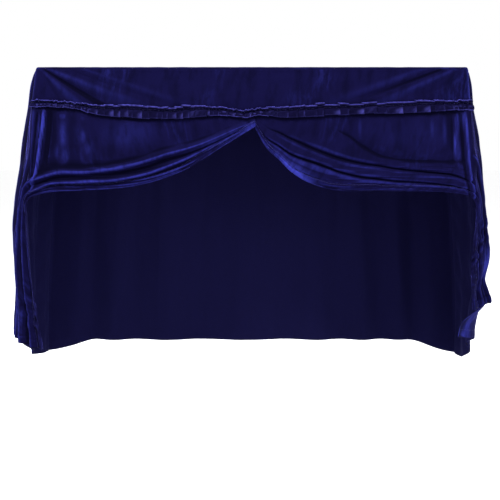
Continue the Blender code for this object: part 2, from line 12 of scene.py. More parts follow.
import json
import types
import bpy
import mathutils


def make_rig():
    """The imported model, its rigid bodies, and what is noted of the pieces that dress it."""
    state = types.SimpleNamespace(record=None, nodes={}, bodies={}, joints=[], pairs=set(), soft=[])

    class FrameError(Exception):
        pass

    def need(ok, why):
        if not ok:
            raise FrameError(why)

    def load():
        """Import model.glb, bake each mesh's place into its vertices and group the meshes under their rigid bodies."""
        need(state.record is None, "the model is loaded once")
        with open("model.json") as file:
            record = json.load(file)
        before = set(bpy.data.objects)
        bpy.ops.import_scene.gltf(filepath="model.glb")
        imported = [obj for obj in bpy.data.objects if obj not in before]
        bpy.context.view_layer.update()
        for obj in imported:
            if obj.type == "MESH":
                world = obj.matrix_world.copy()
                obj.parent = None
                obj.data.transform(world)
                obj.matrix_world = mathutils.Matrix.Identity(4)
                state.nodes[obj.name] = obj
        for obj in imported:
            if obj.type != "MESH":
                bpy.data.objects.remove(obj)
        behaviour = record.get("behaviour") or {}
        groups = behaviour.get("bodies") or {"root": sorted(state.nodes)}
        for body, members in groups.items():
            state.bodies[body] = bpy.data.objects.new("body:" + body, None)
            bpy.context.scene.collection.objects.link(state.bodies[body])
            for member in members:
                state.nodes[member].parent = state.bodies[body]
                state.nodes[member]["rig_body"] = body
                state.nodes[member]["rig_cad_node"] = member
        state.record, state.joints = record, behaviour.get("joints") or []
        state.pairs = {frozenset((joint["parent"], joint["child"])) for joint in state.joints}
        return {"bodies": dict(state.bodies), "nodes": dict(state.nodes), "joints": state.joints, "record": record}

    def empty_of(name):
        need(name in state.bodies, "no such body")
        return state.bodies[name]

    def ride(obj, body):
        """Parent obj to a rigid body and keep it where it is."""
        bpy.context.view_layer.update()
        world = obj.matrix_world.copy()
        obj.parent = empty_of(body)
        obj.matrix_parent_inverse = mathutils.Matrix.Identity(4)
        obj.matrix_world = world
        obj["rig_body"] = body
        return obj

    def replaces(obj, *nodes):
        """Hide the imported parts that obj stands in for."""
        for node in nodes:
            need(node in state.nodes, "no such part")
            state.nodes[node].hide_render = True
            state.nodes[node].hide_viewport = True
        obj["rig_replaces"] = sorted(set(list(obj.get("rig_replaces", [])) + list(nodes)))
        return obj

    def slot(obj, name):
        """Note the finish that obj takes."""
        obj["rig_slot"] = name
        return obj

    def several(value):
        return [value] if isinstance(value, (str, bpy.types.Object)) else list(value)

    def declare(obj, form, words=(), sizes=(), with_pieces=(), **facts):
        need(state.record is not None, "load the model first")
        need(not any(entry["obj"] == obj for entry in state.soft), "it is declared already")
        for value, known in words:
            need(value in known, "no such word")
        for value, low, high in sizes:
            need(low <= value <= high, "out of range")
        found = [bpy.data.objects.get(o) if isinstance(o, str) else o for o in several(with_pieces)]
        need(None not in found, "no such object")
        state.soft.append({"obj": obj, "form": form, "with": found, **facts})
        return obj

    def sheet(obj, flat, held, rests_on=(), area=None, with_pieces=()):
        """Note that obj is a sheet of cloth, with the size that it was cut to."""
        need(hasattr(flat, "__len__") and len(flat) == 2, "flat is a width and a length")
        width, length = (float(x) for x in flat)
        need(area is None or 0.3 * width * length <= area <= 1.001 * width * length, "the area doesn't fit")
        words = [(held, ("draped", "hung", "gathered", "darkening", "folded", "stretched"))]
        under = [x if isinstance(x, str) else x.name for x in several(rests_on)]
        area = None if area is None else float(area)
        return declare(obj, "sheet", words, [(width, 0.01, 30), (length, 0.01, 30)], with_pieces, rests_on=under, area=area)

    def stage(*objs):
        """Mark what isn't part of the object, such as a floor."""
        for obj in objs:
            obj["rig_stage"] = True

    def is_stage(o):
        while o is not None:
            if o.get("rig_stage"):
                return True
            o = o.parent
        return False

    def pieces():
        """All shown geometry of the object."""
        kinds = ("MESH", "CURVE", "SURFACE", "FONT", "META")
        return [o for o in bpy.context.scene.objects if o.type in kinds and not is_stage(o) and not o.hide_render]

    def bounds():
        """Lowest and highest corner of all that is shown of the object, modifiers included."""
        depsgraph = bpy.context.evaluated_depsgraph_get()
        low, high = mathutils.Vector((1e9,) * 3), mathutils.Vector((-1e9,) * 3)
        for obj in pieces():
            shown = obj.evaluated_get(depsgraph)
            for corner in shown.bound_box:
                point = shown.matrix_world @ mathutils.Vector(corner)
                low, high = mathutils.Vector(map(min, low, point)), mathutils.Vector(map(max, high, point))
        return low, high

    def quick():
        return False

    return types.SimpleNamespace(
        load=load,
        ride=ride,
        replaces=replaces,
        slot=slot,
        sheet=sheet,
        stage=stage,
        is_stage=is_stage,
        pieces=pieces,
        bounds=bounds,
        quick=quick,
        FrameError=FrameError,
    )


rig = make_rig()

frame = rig.load()

import json
import logging
import math
from dataclasses import dataclass, field
from enum import Enum
from typing import NamedTuple, Sequence

import bmesh
import bpy
import numpy as np
from mathutils import Vector

log = logging.getLogger("piano_cover")

SIZE_FILE = "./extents.json"
BODY = "root"

# What the finishes read off each sheet: how far its folds and its creases stand out from it, averaged over these
# reaches, which the finish shows as highlights painted on raised cloth and shade painted in hollows (the folds mark
# also carries shade painted on some sheets); and, in the last mark, where its pile is brushed and where highlights are
# painted.
MARKS = {"folds": 0.02, "creases": 0.006, "handled": 0.0}

VECTOR, COLOR, NUMBER = "NodeSocketVector", "NodeSocketColor", "NodeSocketFloat"

Array = np.ndarray
Piece = bpy.types.Object
Material = bpy.types.Material
Node = bpy.types.Node
Socket = bpy.types.NodeSocket


class Side(Enum):
    """The player's left or right."""

    LEFT = -1
    RIGHT = 1


class Hold(Enum):
    """How a sheet of cloth is held."""

    HUNG = "hung"
    GATHERED = "gathered"
    STRETCHED = "stretched"


# ---- Small numerical helpers ----


def smooth(low: float, high: float, value: Array) -> Array:
    """Eases from 0 below low to 1 above high.

    Args:
        low: Where the rise begins.
        high: Where the rise ends.
        value: The values to ease.

    Returns:
        A share from 0 to 1 for each value.
    """
    t = np.clip((np.asarray(value, float) - low) / (high - low), 0.0, 1.0)
    return t * t * (3 - 2 * t)


def mix(a: Array, b: Array, share: Array) -> Array:
    """Gives the value share of the way from a to b."""
    return a + (b - a) * share


def roll(distance: Array, width: Array) -> Array:
    """Gives a rounded hump, 1 in its middle and 0 from width on."""
    return np.cos(np.pi / 2 * np.clip(np.abs(distance) / width, 0.0, 1.0)) ** 2


def nick(distance: Array, width: Array) -> Array:
    """Gives a sharp-bottomed hump, 1 in its middle and 0 from width on."""
    return (1 - np.clip(np.abs(distance) / width, 0.0, 1.0)) ** 2.2


def bell(distance: Array, width: Array) -> Array:
    """Gives a bell-shaped hump, 1 in its middle and about a third at width."""
    return np.exp(-((distance / width) ** 2))


def hermite(t: Array, start: Array, end: Array, leave: Array, arrive: Array) -> Array:
    """Follows a smooth curve from one value to the next.

    Args:
        t: Shares of the way.
        start: The value at the start.
        end: The value at the end.
        leave: How fast it leaves the start, over the whole way.
        arrive: How fast it arrives at the end, over the whole way.

    Returns:
        The value at each share.
    """
    return (
        (2 * t**3 - 3 * t**2 + 1) * start
        + (t**3 - 2 * t**2 + t) * leave
        + (3 * t**2 - 2 * t**3) * end
        + (t**3 - t**2) * arrive
    )


class Curve:
    """A smooth curve through the rows of a table, read by the table's first column."""

    def __init__(self, rows: Sequence[tuple]) -> None:
        """Keeps the rows and their slopes.

        Args:
            rows: The table, in the order of its first column.
        """
        self.columns = rows[0]._fields
        self.rows = np.array(rows, float)
        self.keys = self.rows[:, 0]
        self.slopes = np.empty_like(self.rows)
        for k in range(len(self.keys)):
            low, high = max(k - 1, 0), min(k + 1, len(self.keys) - 1)
            self.slopes[k] = (self.rows[high] - self.rows[low]) / (self.keys[high] - self.keys[low])

    def at(self, key: Array, name: str) -> Array:
        """Reads one column.

        Args:
            key: Places along the first column.
            name: The column's name.

        Returns:
            The column's value at each place.
        """
        keys, column = self.keys, self.columns.index(name)
        key = np.clip(np.asarray(key, float), keys[0], keys[-1])
        i = np.clip(np.searchsorted(keys, key, side="right") - 1, 0, len(keys) - 2)
        step = keys[i + 1] - keys[i]
        leave, arrive = self.slopes[i, column] * step, self.slopes[i + 1, column] * step
        start, end = self.rows[i, column], self.rows[i + 1, column]
        return hermite((key - keys[i]) / step, start, end, leave, arrive)


class Ripple:
    """Seeded smooth noise on a plane, from about -1 to 1."""

    SIZE = 256
    STRENGTH = 1.5
    SHARPNESS = 2.6

    def __init__(self, seed: int) -> None:
        """Draws the table of slopes.

        Args:
            seed: Gives the same ripple each time.
        """
        draw = np.random.default_rng(seed)
        angles = draw.uniform(0, 2 * np.pi, (self.SIZE, self.SIZE))
        self.slope_x, self.slope_y = np.cos(angles), np.sin(angles)

    def at(self, x: Array, y: Array) -> Array:
        """Reads the noise.

        Args:
            x: Places across, one feature apart for each whole number.
            y: Places down.

        Returns:
            The height at each place.
        """
        x, y = np.broadcast_arrays(np.asarray(x, float), np.asarray(y, float))
        cell_x, cell_y = np.floor(x).astype(int), np.floor(y).astype(int)
        part_x, part_y = x - cell_x, y - cell_y
        ease_x = part_x**3 * (part_x * (part_x * 6 - 15) + 10)
        ease_y = part_y**3 * (part_y * (part_y * 6 - 15) + 10)

        def corner(dx: int, dy: int) -> Array:
            """Gives what one corner of each place's cell adds."""
            i, j = (cell_x + dx) % self.SIZE, (cell_y + dy) % self.SIZE
            return self.slope_x[i, j] * (part_x - dx) + self.slope_y[i, j] * (part_y - dy)

        near = mix(corner(0, 0), corner(1, 0), ease_x)
        far = mix(corner(0, 1), corner(1, 1), ease_x)
        return self.STRENGTH * mix(near, far, ease_y)

    def creases(self, x: Array, y: Array) -> Array:
        """Gives thin sharp lines with smooth ground between, from 0 to about 1."""
        return np.clip(1 - self.SHARPNESS * np.abs(self.at(x, y)), 0.0, 1.0) ** 2


class Wrinkle(NamedTuple):
    """One layer of wrinkles: its height, how many it has in a unit each way, and where its noise is read.

    noise is the ripple's place in a panel's list, and sharp layers are thin creases.
    """

    height: float
    along: float
    across: float
    ahead: float = 0.0
    aside: float = 0.0
    noise: int = 0
    sharp: bool = False


def wrinkled(ripples: Sequence[Ripple], layers: Sequence[Wrinkle], along: Array, across: Array) -> Array:
    """Adds up layers of wrinkles.

    Args:
        ripples: The noises that the layers read.
        layers: The layers.
        along: Places along the sheet.
        across: Places across it.

    Returns:
        The height at each place.
    """
    height = 0.0
    for layer in layers:
        ripple = ripples[layer.noise]
        read = ripple.creases if layer.sharp else ripple.at
        x, y = along * layer.along + layer.ahead, across * layer.across + layer.aside
        height = height + layer.height * read(x, y)
    return height


# ---- Tables of the cover's shape ----


class Seam(NamedTuple):
    """One height of a front corner seam: how far the cloth has swung out there."""

    drop: float
    swing: float


class Waist(NamedTuple):
    """One place along the line where the curtains are sewn to the yoke."""

    x: float
    drop: float


class Trim(NamedTuple):
    """One place along the ruched trim: its upper and lower edge, and its pleats' width there."""

    x: float
    top: float
    bottom: float
    pleat: float


class Edge(NamedTuple):
    """One place along a curtain's free edge. along is 0 at the parting, 1 at the arm and 2 at the hem."""

    along: float
    out: float
    forward: float
    drop: float


class Fold(NamedTuple):
    """One place along a fold. across is 0 at the yoke or the seam and 1 at the curtain's free edge."""

    along: float
    across: float
    height: float
    width: float


class Pleat(NamedTuple):
    """A soft pleat that falls from the yoke, by its place along the curtain and its lean as it falls, with the
    highlight painted along it.
    """

    along: float
    lean: float
    width: float
    height: float
    reach: float
    worn: float


class Crest(NamedTuple):
    """How strong the highlight painted along a guide's crest is, in front and down the tail."""

    front: float
    tail: float


class Standoff(NamedTuple):
    """How far the trim stands off the yoke at one share of its way down."""

    down: float
    lift: float


class Patch(NamedTuple):
    """A place where the pile has been brushed the other way and a highlight is painted, by its middle, its spread and
    its strength.
    """

    along: float
    across: float
    wide: float
    tall: float
    strength: float


SEAM_LEFT = (
    Seam(0.0, 0.0), Seam(0.12, 0.017), Seam(0.22, 0.032), Seam(0.33, 0.047), Seam(0.43, 0.06),
    Seam(0.52, 0.07), Seam(0.6, 0.076), Seam(0.7, 0.074), Seam(0.8, 0.072), Seam(0.95, 0.082),
    Seam(1.15, 0.086),
)
SEAM_RIGHT = (
    Seam(0.0, 0.0), Seam(0.12, 0.012), Seam(0.22, 0.028), Seam(0.33, 0.044), Seam(0.45, 0.058),
    Seam(0.54, 0.068), Seam(0.64, 0.074), Seam(0.73, 0.062), Seam(0.78, 0.072), Seam(0.83, 0.082),
    Seam(0.9, 0.056), Seam(0.98, 0.04), Seam(1.15, 0.036),
)
WAIST = (
    Waist(-0.79, 0.124), Waist(-0.7, 0.126), Waist(-0.6, 0.137), Waist(-0.5, 0.151), Waist(-0.38, 0.157),
    Waist(-0.25, 0.156), Waist(-0.11, 0.153), Waist(0.0, 0.154), Waist(0.12, 0.157), Waist(0.24, 0.147),
    Waist(0.42, 0.144), Waist(0.6, 0.136), Waist(0.79, 0.13),
)
TRIM = (
    Trim(-0.774, 0.113, 0.138, 0.014), Trim(-0.69, 0.116, 0.139, 0.015), Trim(-0.61, 0.124, 0.146, 0.016),
    Trim(-0.55, 0.131, 0.165, 0.022), Trim(-0.44, 0.132, 0.175, 0.03), Trim(-0.33, 0.139, 0.18, 0.026),
    Trim(-0.2, 0.135, 0.175, 0.028), Trim(-0.12, 0.139, 0.168, 0.02), Trim(-0.03, 0.149, 0.176, 0.016),
    Trim(0.03, 0.142, 0.168, 0.018), Trim(0.11, 0.139, 0.176, 0.028), Trim(0.23, 0.127, 0.171, 0.04),
    Trim(0.4, 0.124, 0.164, 0.044), Trim(0.56, 0.117, 0.158, 0.038), Trim(0.69, 0.115, 0.151, 0.022),
    Trim(0.774, 0.114, 0.149, 0.018),
)

TRIM_SECTION = (
    Standoff(0.0, 0.0016), Standoff(0.04, 0.0046), Standoff(0.1, 0.0062), Standoff(0.17, 0.0054),
    Standoff(0.25, 0.0016), Standoff(0.3, 0.0006), Standoff(0.37, 0.0016), Standoff(0.55, 0.0036),
    Standoff(0.8, 0.0046), Standoff(0.95, 0.0044), Standoff(1.0, 0.0034),
)

EDGE_LEFT = (
    Edge(0.0, -0.012, 0.004, 0.206), Edge(0.07, 0.043, 0.006, 0.238), Edge(0.16, 0.11, 0.008, 0.28),
    Edge(0.26, 0.188, 0.008, 0.33), Edge(0.34, 0.25, 0.01, 0.364), Edge(0.46, 0.35, 0.014, 0.4),
    Edge(0.6, 0.462, 0.022, 0.422), Edge(0.78, 0.604, 0.044, 0.43), Edge(0.92, 0.714, 0.082, 0.436),
    Edge(1.0, 0.766, 0.112, 0.458), Edge(1.12, 0.77, 0.136, 0.52), Edge(1.35, 0.764, 0.148, 0.64),
    Edge(1.65, 0.748, 0.152, 0.81), Edge(2.0, 0.722, 0.15, 0.984),
)
EDGE_RIGHT = (
    Edge(0.0, 0.013, 0.002, 0.214), Edge(0.05, 0.052, 0.006, 0.28), Edge(0.11, 0.1, 0.008, 0.326),
    Edge(0.17, 0.146, 0.008, 0.37), Edge(0.26, 0.216, 0.01, 0.409), Edge(0.38, 0.31, 0.014, 0.431),
    Edge(0.6, 0.478, 0.024, 0.433), Edge(0.8, 0.632, 0.048, 0.433), Edge(0.93, 0.73, 0.086, 0.44),
    Edge(1.0, 0.766, 0.112, 0.458), Edge(1.12, 0.77, 0.136, 0.51), Edge(1.35, 0.766, 0.148, 0.6),
    Edge(1.65, 0.762, 0.15, 0.71), Edge(2.0, 0.768, 0.14, 0.846),
)

# The three guides are the folds that the rows of a curtain's grid run along.
GUIDES_LEFT = (
    (
        Fold(0.0, 0.24, 0.0, 0.12), Fold(0.95, 0.34, 0.0, 0.12), Fold(1.12, 0.34, 0.009, 0.12),
        Fold(1.5, 0.3, 0.014, 0.13), Fold(2.0, 0.3, 0.018, 0.14),
    ),
    (
        Fold(0.0, 0.46, 0.005, 0.2), Fold(0.18, 0.48, 0.013, 0.11), Fold(0.39, 0.45, 0.015, 0.09),
        Fold(0.56, 0.52, 0.016, 0.08), Fold(0.74, 0.585, 0.016, 0.075), Fold(0.88, 0.6, 0.017, 0.07),
        Fold(1.0, 0.66, 0.018, 0.08), Fold(1.3, 0.56, 0.018, 0.12), Fold(1.6, 0.54, 0.018, 0.14),
        Fold(2.0, 0.56, 0.02, 0.15),
    ),
    (
        Fold(0.0, 0.7, 0.003, 0.12), Fold(0.3, 0.63, 0.009, 0.07), Fold(0.5, 0.69, 0.011, 0.06),
        Fold(0.7, 0.74, 0.012, 0.055), Fold(0.9, 0.755, 0.012, 0.055), Fold(1.0, 0.82, 0.012, 0.065),
        Fold(1.3, 0.79, 0.014, 0.1), Fold(1.6, 0.8, 0.014, 0.11), Fold(2.0, 0.82, 0.014, 0.12),
    ),
)
GUIDES_RIGHT = (
    (
        Fold(0.0, 0.1, 0.0, 0.1), Fold(0.3, 0.12, 0.0, 0.1), Fold(0.42, 0.2, -0.008, 0.13),
        Fold(0.5, 0.3, -0.012, 0.12), Fold(0.58, 0.39, -0.011, 0.11), Fold(0.68, 0.44, -0.009, 0.1),
        Fold(0.82, 0.46, -0.006, 0.1), Fold(0.95, 0.44, -0.004, 0.1), Fold(1.03, 0.34, 0.0, 0.1),
        Fold(1.15, 0.26, 0.01, 0.12), Fold(1.5, 0.24, 0.014, 0.13), Fold(2.0, 0.24, 0.016, 0.14),
    ),
    (
        Fold(0.0, 0.28, -0.002, 0.1), Fold(0.15, 0.29, -0.01, 0.06), Fold(0.3, 0.37, -0.013, 0.055),
        Fold(0.45, 0.455, -0.014, 0.05), Fold(0.6, 0.52, -0.014, 0.05), Fold(0.74, 0.58, -0.014, 0.05),
        Fold(0.88, 0.615, -0.015, 0.05), Fold(1.0, 0.66, -0.014, 0.06), Fold(1.3, 0.54, -0.014, 0.09),
        Fold(2.0, 0.48, -0.016, 0.1),
    ),
    (
        Fold(0.0, 0.54, -0.003, 0.08), Fold(0.12, 0.52, -0.012, 0.055), Fold(0.27, 0.515, -0.014, 0.05),
        Fold(0.45, 0.625, -0.014, 0.05), Fold(0.64, 0.715, -0.013, 0.05), Fold(0.85, 0.775, -0.012, 0.05),
        Fold(1.0, 0.83, -0.01, 0.055), Fold(1.3, 0.76, -0.012, 0.08), Fold(2.0, 0.74, -0.014, 0.1),
    ),
)
BROAD_LEFT = (
    (
        Fold(0.0, 1.0, 0.004, 0.2), Fold(0.3, 1.0, 0.008, 0.13), Fold(0.6, 1.0, 0.01, 0.11),
        Fold(1.0, 1.0, 0.01, 0.11), Fold(2.0, 1.0, 0.006, 0.1),
    ),
    (
        Fold(0.0, 0.85, 0.002, 0.4), Fold(0.3, 0.8, 0.01, 0.4), Fold(0.7, 0.85, 0.014, 0.32),
        Fold(1.0, 0.85, 0.012, 0.36), Fold(1.4, 0.6, 0.004, 0.5), Fold(2.0, 0.6, 0.002, 0.5),
    ),
)
BROAD_RIGHT = (
    (
        Fold(0.0, 0.6, 0.004, 0.5), Fold(0.2, 0.62, 0.016, 0.46), Fold(0.6, 0.74, 0.02, 0.4),
        Fold(1.0, 0.82, 0.018, 0.34), Fold(1.4, 0.6, 0.006, 0.5), Fold(2.0, 0.6, 0.002, 0.5),
    ),
)
PLEATS_LEFT = (
    Pleat(0.932, 0.064, 0.009, 0.012, 1.0, 0.85), Pleat(0.906, 0.06, 0.016, -0.005, 0.8, 0.0),
    Pleat(0.962, 0.055, 0.009, -0.006, 0.8, 0.0), Pleat(0.979, 0.035, 0.006, 0.003, 1.0, 0.24),
    Pleat(0.855, 0.01, 0.034, 0.004, 0.8, 0.0), Pleat(0.775, -0.04, 0.04, 0.003, 0.7, 0.0),
    Pleat(0.56, -0.1, 0.12, 0.003, 0.6, 0.0),
)
PLEATS_RIGHT = (
    Pleat(0.96, 0.036, 0.008, 0.005, 1.5, 0.62), Pleat(0.94, 0.03, 0.014, -0.006, 1.3, 0.0),
    Pleat(0.918, 0.01, 0.02, 0.004, 0.7, 0.0), Pleat(0.84, 0.0, 0.05, 0.002, 0.6, 0.0),
)

# How strong the highlight painted along the crest of each of the three guides is, in front and down the tail.
CRESTS_LEFT = (Crest(0.0, 0.85), Crest(0.5, 0.3), Crest(0.44, 0.3))
CRESTS_RIGHT = (Crest(0.0, 0.85), Crest(0.0, 0.25), Crest(0.0, 0.2))

# Brushed pile with painted highlights, in patches along each curtain.
PATCHES_LEFT = (
    Patch(0.938, 0.1, 0.006, 0.12, 0.85), Patch(0.955, 0.28, 0.006, 0.14, 0.75),
    Patch(0.855, 0.24, 0.013, 0.1, 0.42), Patch(0.848, 0.4, 0.013, 0.07, 0.34),
    Patch(0.885, 0.38, 0.01, 0.06, 0.2), Patch(0.77, 0.23, 0.01, 0.05, 0.32),
    Patch(0.752, 0.34, 0.016, 0.05, 0.3), Patch(0.56, 0.2, 0.1, 0.11, 0.16),
    Patch(0.03, 0.8, 0.06, 0.3, 0.55), Patch(0.15, 0.55, 0.14, 0.1, 0.3),
    Patch(0.92, 0.92, 0.028, 0.02, 0.8), Patch(0.74, 0.735, 0.05, 0.022, 0.8),
    Patch(1.82, 0.15, 0.12, 0.22, 0.9),
)
PATCHES_RIGHT = (
    Patch(0.926, 0.1, 0.005, 0.1, 0.5), Patch(0.913, 0.31, 0.007, 0.09, 0.6),
    Patch(0.945, 0.08, 0.014, 0.08, 0.42), Patch(0.867, 0.2, 0.01, 0.1, 0.2),
    Patch(0.812, 0.16, 0.009, 0.08, 0.18), Patch(0.485, 0.15, 0.008, 0.07, 0.18),
    Patch(0.7, 0.22, 0.22, 0.16, 0.05), Patch(0.06, 0.86, 0.06, 0.14, 0.45),
    Patch(0.175, 0.85, 0.08, 0.16, 1.4), Patch(1.76, 0.34, 0.09, 0.16, 0.95),
)
# A curtain's small creases: where it is gathered, where it is smooth, in its tail and where it was gripped.
GATHERED = (
    Wrinkle(0.0024, 3.6, 13.0),
    Wrinkle(0.001, 6.0, 30.0, ahead=3.0, noise=1),
    Wrinkle(-0.0016, 3.0, 15.0, aside=4.0, noise=2, sharp=True),
)
SMOOTH = (Wrinkle(0.0018, 11.0, 1.2, noise=3),)
TAIL = (Wrinkle(0.0045, 2.2, 7.5, ahead=9.0), Wrinkle(0.0016, 5.0, 19.0, ahead=9.0, noise=1))
GRIPPED = (Wrinkle(0.005, 15.0, 6.0, ahead=2.0, noise=1), Wrinkle(0.003, 27.0, 10.0, noise=2))


# ---- Sheets of cloth ----


def brushed(patches: Sequence[Patch], along: Array, across: Array) -> Array:
    """Gives how far each place of a curtain has been brushed, with the highlights painted there.

    Args:
        patches: The places that have been brushed and highlighted.
        along: Places along the curtain.
        across: Places across it.

    Returns:
        Nothing where the pile stands, and up to about 1.4 where it is brushed and highlighted most.
    """
    found = np.zeros(np.broadcast(along, across).shape)
    for patch in patches:
        far = ((along - patch.along) / patch.wide) ** 2 + ((across - patch.across) / patch.tall) ** 2
        found = np.maximum(found, patch.strength * np.exp(-far))
    return found


def resampled(values: Array, columns: int, rows: int) -> Array:
    """Reads a coarse grid of vectors on a finer one, along smooth curves.

    Args:
        values: A grid of vectors, columns by rows by 3.
        columns: The finer grid's columns.
        rows: The finer grid's rows.

    Returns:
        The finer grid.
    """
    for axis, count in ((0, columns), (1, rows)):
        values = np.moveaxis(values, axis, 0)
        last = len(values) - 1
        place = np.linspace(0, last, count)
        i = np.clip(place.astype(int), 0, last - 1)
        before, after = values[np.maximum(i - 1, 0)], values[np.minimum(i + 2, last)]
        start, end = values[i], values[i + 1]
        values = hermite((place - i).reshape(-1, 1, 1), start, end, (end - before) / 2, (after - start) / 2)
        values = np.moveaxis(values, 0, axis)
    return values


def linked(name: str, data: bpy.types.ID) -> Piece:
    """Puts a mesh, a light or a camera in the scene.

    Args:
        name: The object's name.
        data: The mesh, light or camera.

    Returns:
        The object.
    """
    piece = bpy.data.objects.new(name, data)
    bpy.context.scene.collection.objects.link(piece)
    return piece


@dataclass
class Drape:
    """A sheet's middle surface, a grid of points with columns along the sheet and rows down it.

    facing is 1 where the columns run to the right as the outside of the sheet is looked at, or else -1.
    """

    RELIEF = 0.16

    points: Array
    facing: int
    marks: dict = field(default_factory=dict)
    layout: Array | None = None

    def outward(self) -> Array:
        """Works out which way the outside faces.

        Returns:
            The outward normal at each point.
        """
        along, down = np.gradient(self.points, axis=0), np.gradient(self.points, axis=1)
        normal = np.cross(down, along) * self.facing
        return normal / np.maximum(np.linalg.norm(normal, axis=2, keepdims=True), 1e-12)

    def lift(self, height: Array) -> None:
        """Moves the cloth outwards by a height at each point."""
        self.points = self.points + self.outward() * height[..., None]

    def metres(self, axis: int) -> Array:
        """Measures the cloth.

        Args:
            axis: 0 to measure from the grid's first column, or 1 from its first row.

        Returns:
            Each point's distance along the cloth.
        """
        steps = np.linalg.norm(np.diff(self.points, axis=axis), axis=2)
        lead = [(1, 0), (0, 0)] if axis == 0 else [(0, 0), (1, 0)]
        return np.pad(np.cumsum(steps, axis=axis), lead)

    def from_last_row(self) -> Array:
        """Gives each point's distance from the sheet's last row."""
        down = self.metres(1)
        return down[:, -1:] - down

    def line_from_edge(self, distance: float, height: float) -> tuple[Array, Array]:
        """Follows the sheet's last row at a distance in from it.

        Args:
            distance: The distance in from the edge.
            height: How far outside the middle surface the line runs.

        Returns:
            The line's points and the outward direction at each.
        """
        from_edge = self.from_last_row()
        row = np.argmin(np.abs(from_edge - distance), axis=1)
        row = np.clip(row, 1, self.points.shape[1] - 2)
        column = np.arange(len(row))
        toward = np.where(from_edge[column, row] > distance, 1, -1)
        near, far = from_edge[column, row], from_edge[column, row + toward]
        share = np.clip((near - distance) / np.where(near == far, 1.0, near - far), 0, 1)[:, None]
        points = mix(self.points[column, row], self.points[column, row + toward], share)
        direction = self.outward()[column, row]
        return points + direction * height, direction

    def area(self) -> float:
        """Gives the sheet's area in square metres."""
        along, down = np.diff(self.points, axis=0)[:, :-1], np.diff(self.points, axis=1)[:-1]
        return float(np.linalg.norm(np.cross(along, down), axis=2).sum())

    def standing_out(self, reach: float) -> Array:
        """Gives how far each point stands out from the cloth around it.

        Args:
            reach: The distance over which the cloth around it is averaged.

        Returns:
            The height in metres, below nothing in a hollow.
        """
        around = self.points
        for axis in (0, 1):
            spacing = float(np.linalg.norm(np.diff(self.points, axis=axis), axis=2).mean())
            half = min(max(1, round(reach / spacing)), self.points.shape[axis] // 2 - 1)
            margin = [(half, half) if i == axis else (0, 0) for i in range(3)]
            count = 2 * half + 1
            for _ in range(2):
                wide = np.moveaxis(np.pad(around, margin, mode="reflect", reflect_type="odd"), axis, 0)
                total = np.cumsum(np.concatenate([np.zeros_like(wide[:1]), wide]), axis=0)
                around = np.moveaxis((total[count:] - total[:-count]) / count, 0, axis)
        return ((self.points - around) * self.outward()).sum(axis=2)

    def relief(self, mark: str) -> Array:
        """Gives a mark of how the cloth stands out (up to 1) or lies in a hollow (down to -1)."""
        return np.tanh(self.standing_out(MARKS[mark]) / (self.RELIEF * MARKS[mark]))

    def sheet(self, name: str, thickness: float) -> Piece:
        """Makes the piece, with a layout in metres for its materials.

        Args:
            name: The piece's name.
            thickness: The cloth's thickness in metres.

        Returns:
            The piece, thickened evenly to both sides.
        """
        columns, rows = self.points.shape[:2]
        index = np.arange(columns * rows).reshape(columns, rows)
        corners = [index[:-1, :-1], index[:-1, 1:], index[1:, 1:], index[1:, :-1]]
        if self.facing < 0:
            corners.reverse()
        faces = np.stack(corners, axis=-1).reshape(-1, 4)
        mesh = bpy.data.meshes.new(name)
        mesh.from_pydata(self.points.reshape(-1, 3), [], faces.tolist())
        layout = np.stack([self.metres(0), self.metres(1)], axis=-1) if self.layout is None else self.layout
        layout = layout.reshape(-1, 2)
        mesh.uv_layers.new(name="cloth").uv.foreach_set("vector", layout[faces.ravel()].ravel())
        for mark, reach in MARKS.items():
            if mark in self.marks:
                values = np.broadcast_to(self.marks[mark], (columns, rows))
            else:
                values = self.relief(mark) if reach else np.zeros((columns, rows))
            mesh.attributes.new(mark, "FLOAT", "POINT").data.foreach_set("value", values.ravel())
        mesh.shade_smooth()
        piece = linked(name, mesh)
        solid = piece.modifiers.new("cloth_thickness", "SOLIDIFY")
        solid.thickness, solid.offset = thickness, 0.0
        solid.material_offset, solid.material_offset_rim = 1, 0
        return piece


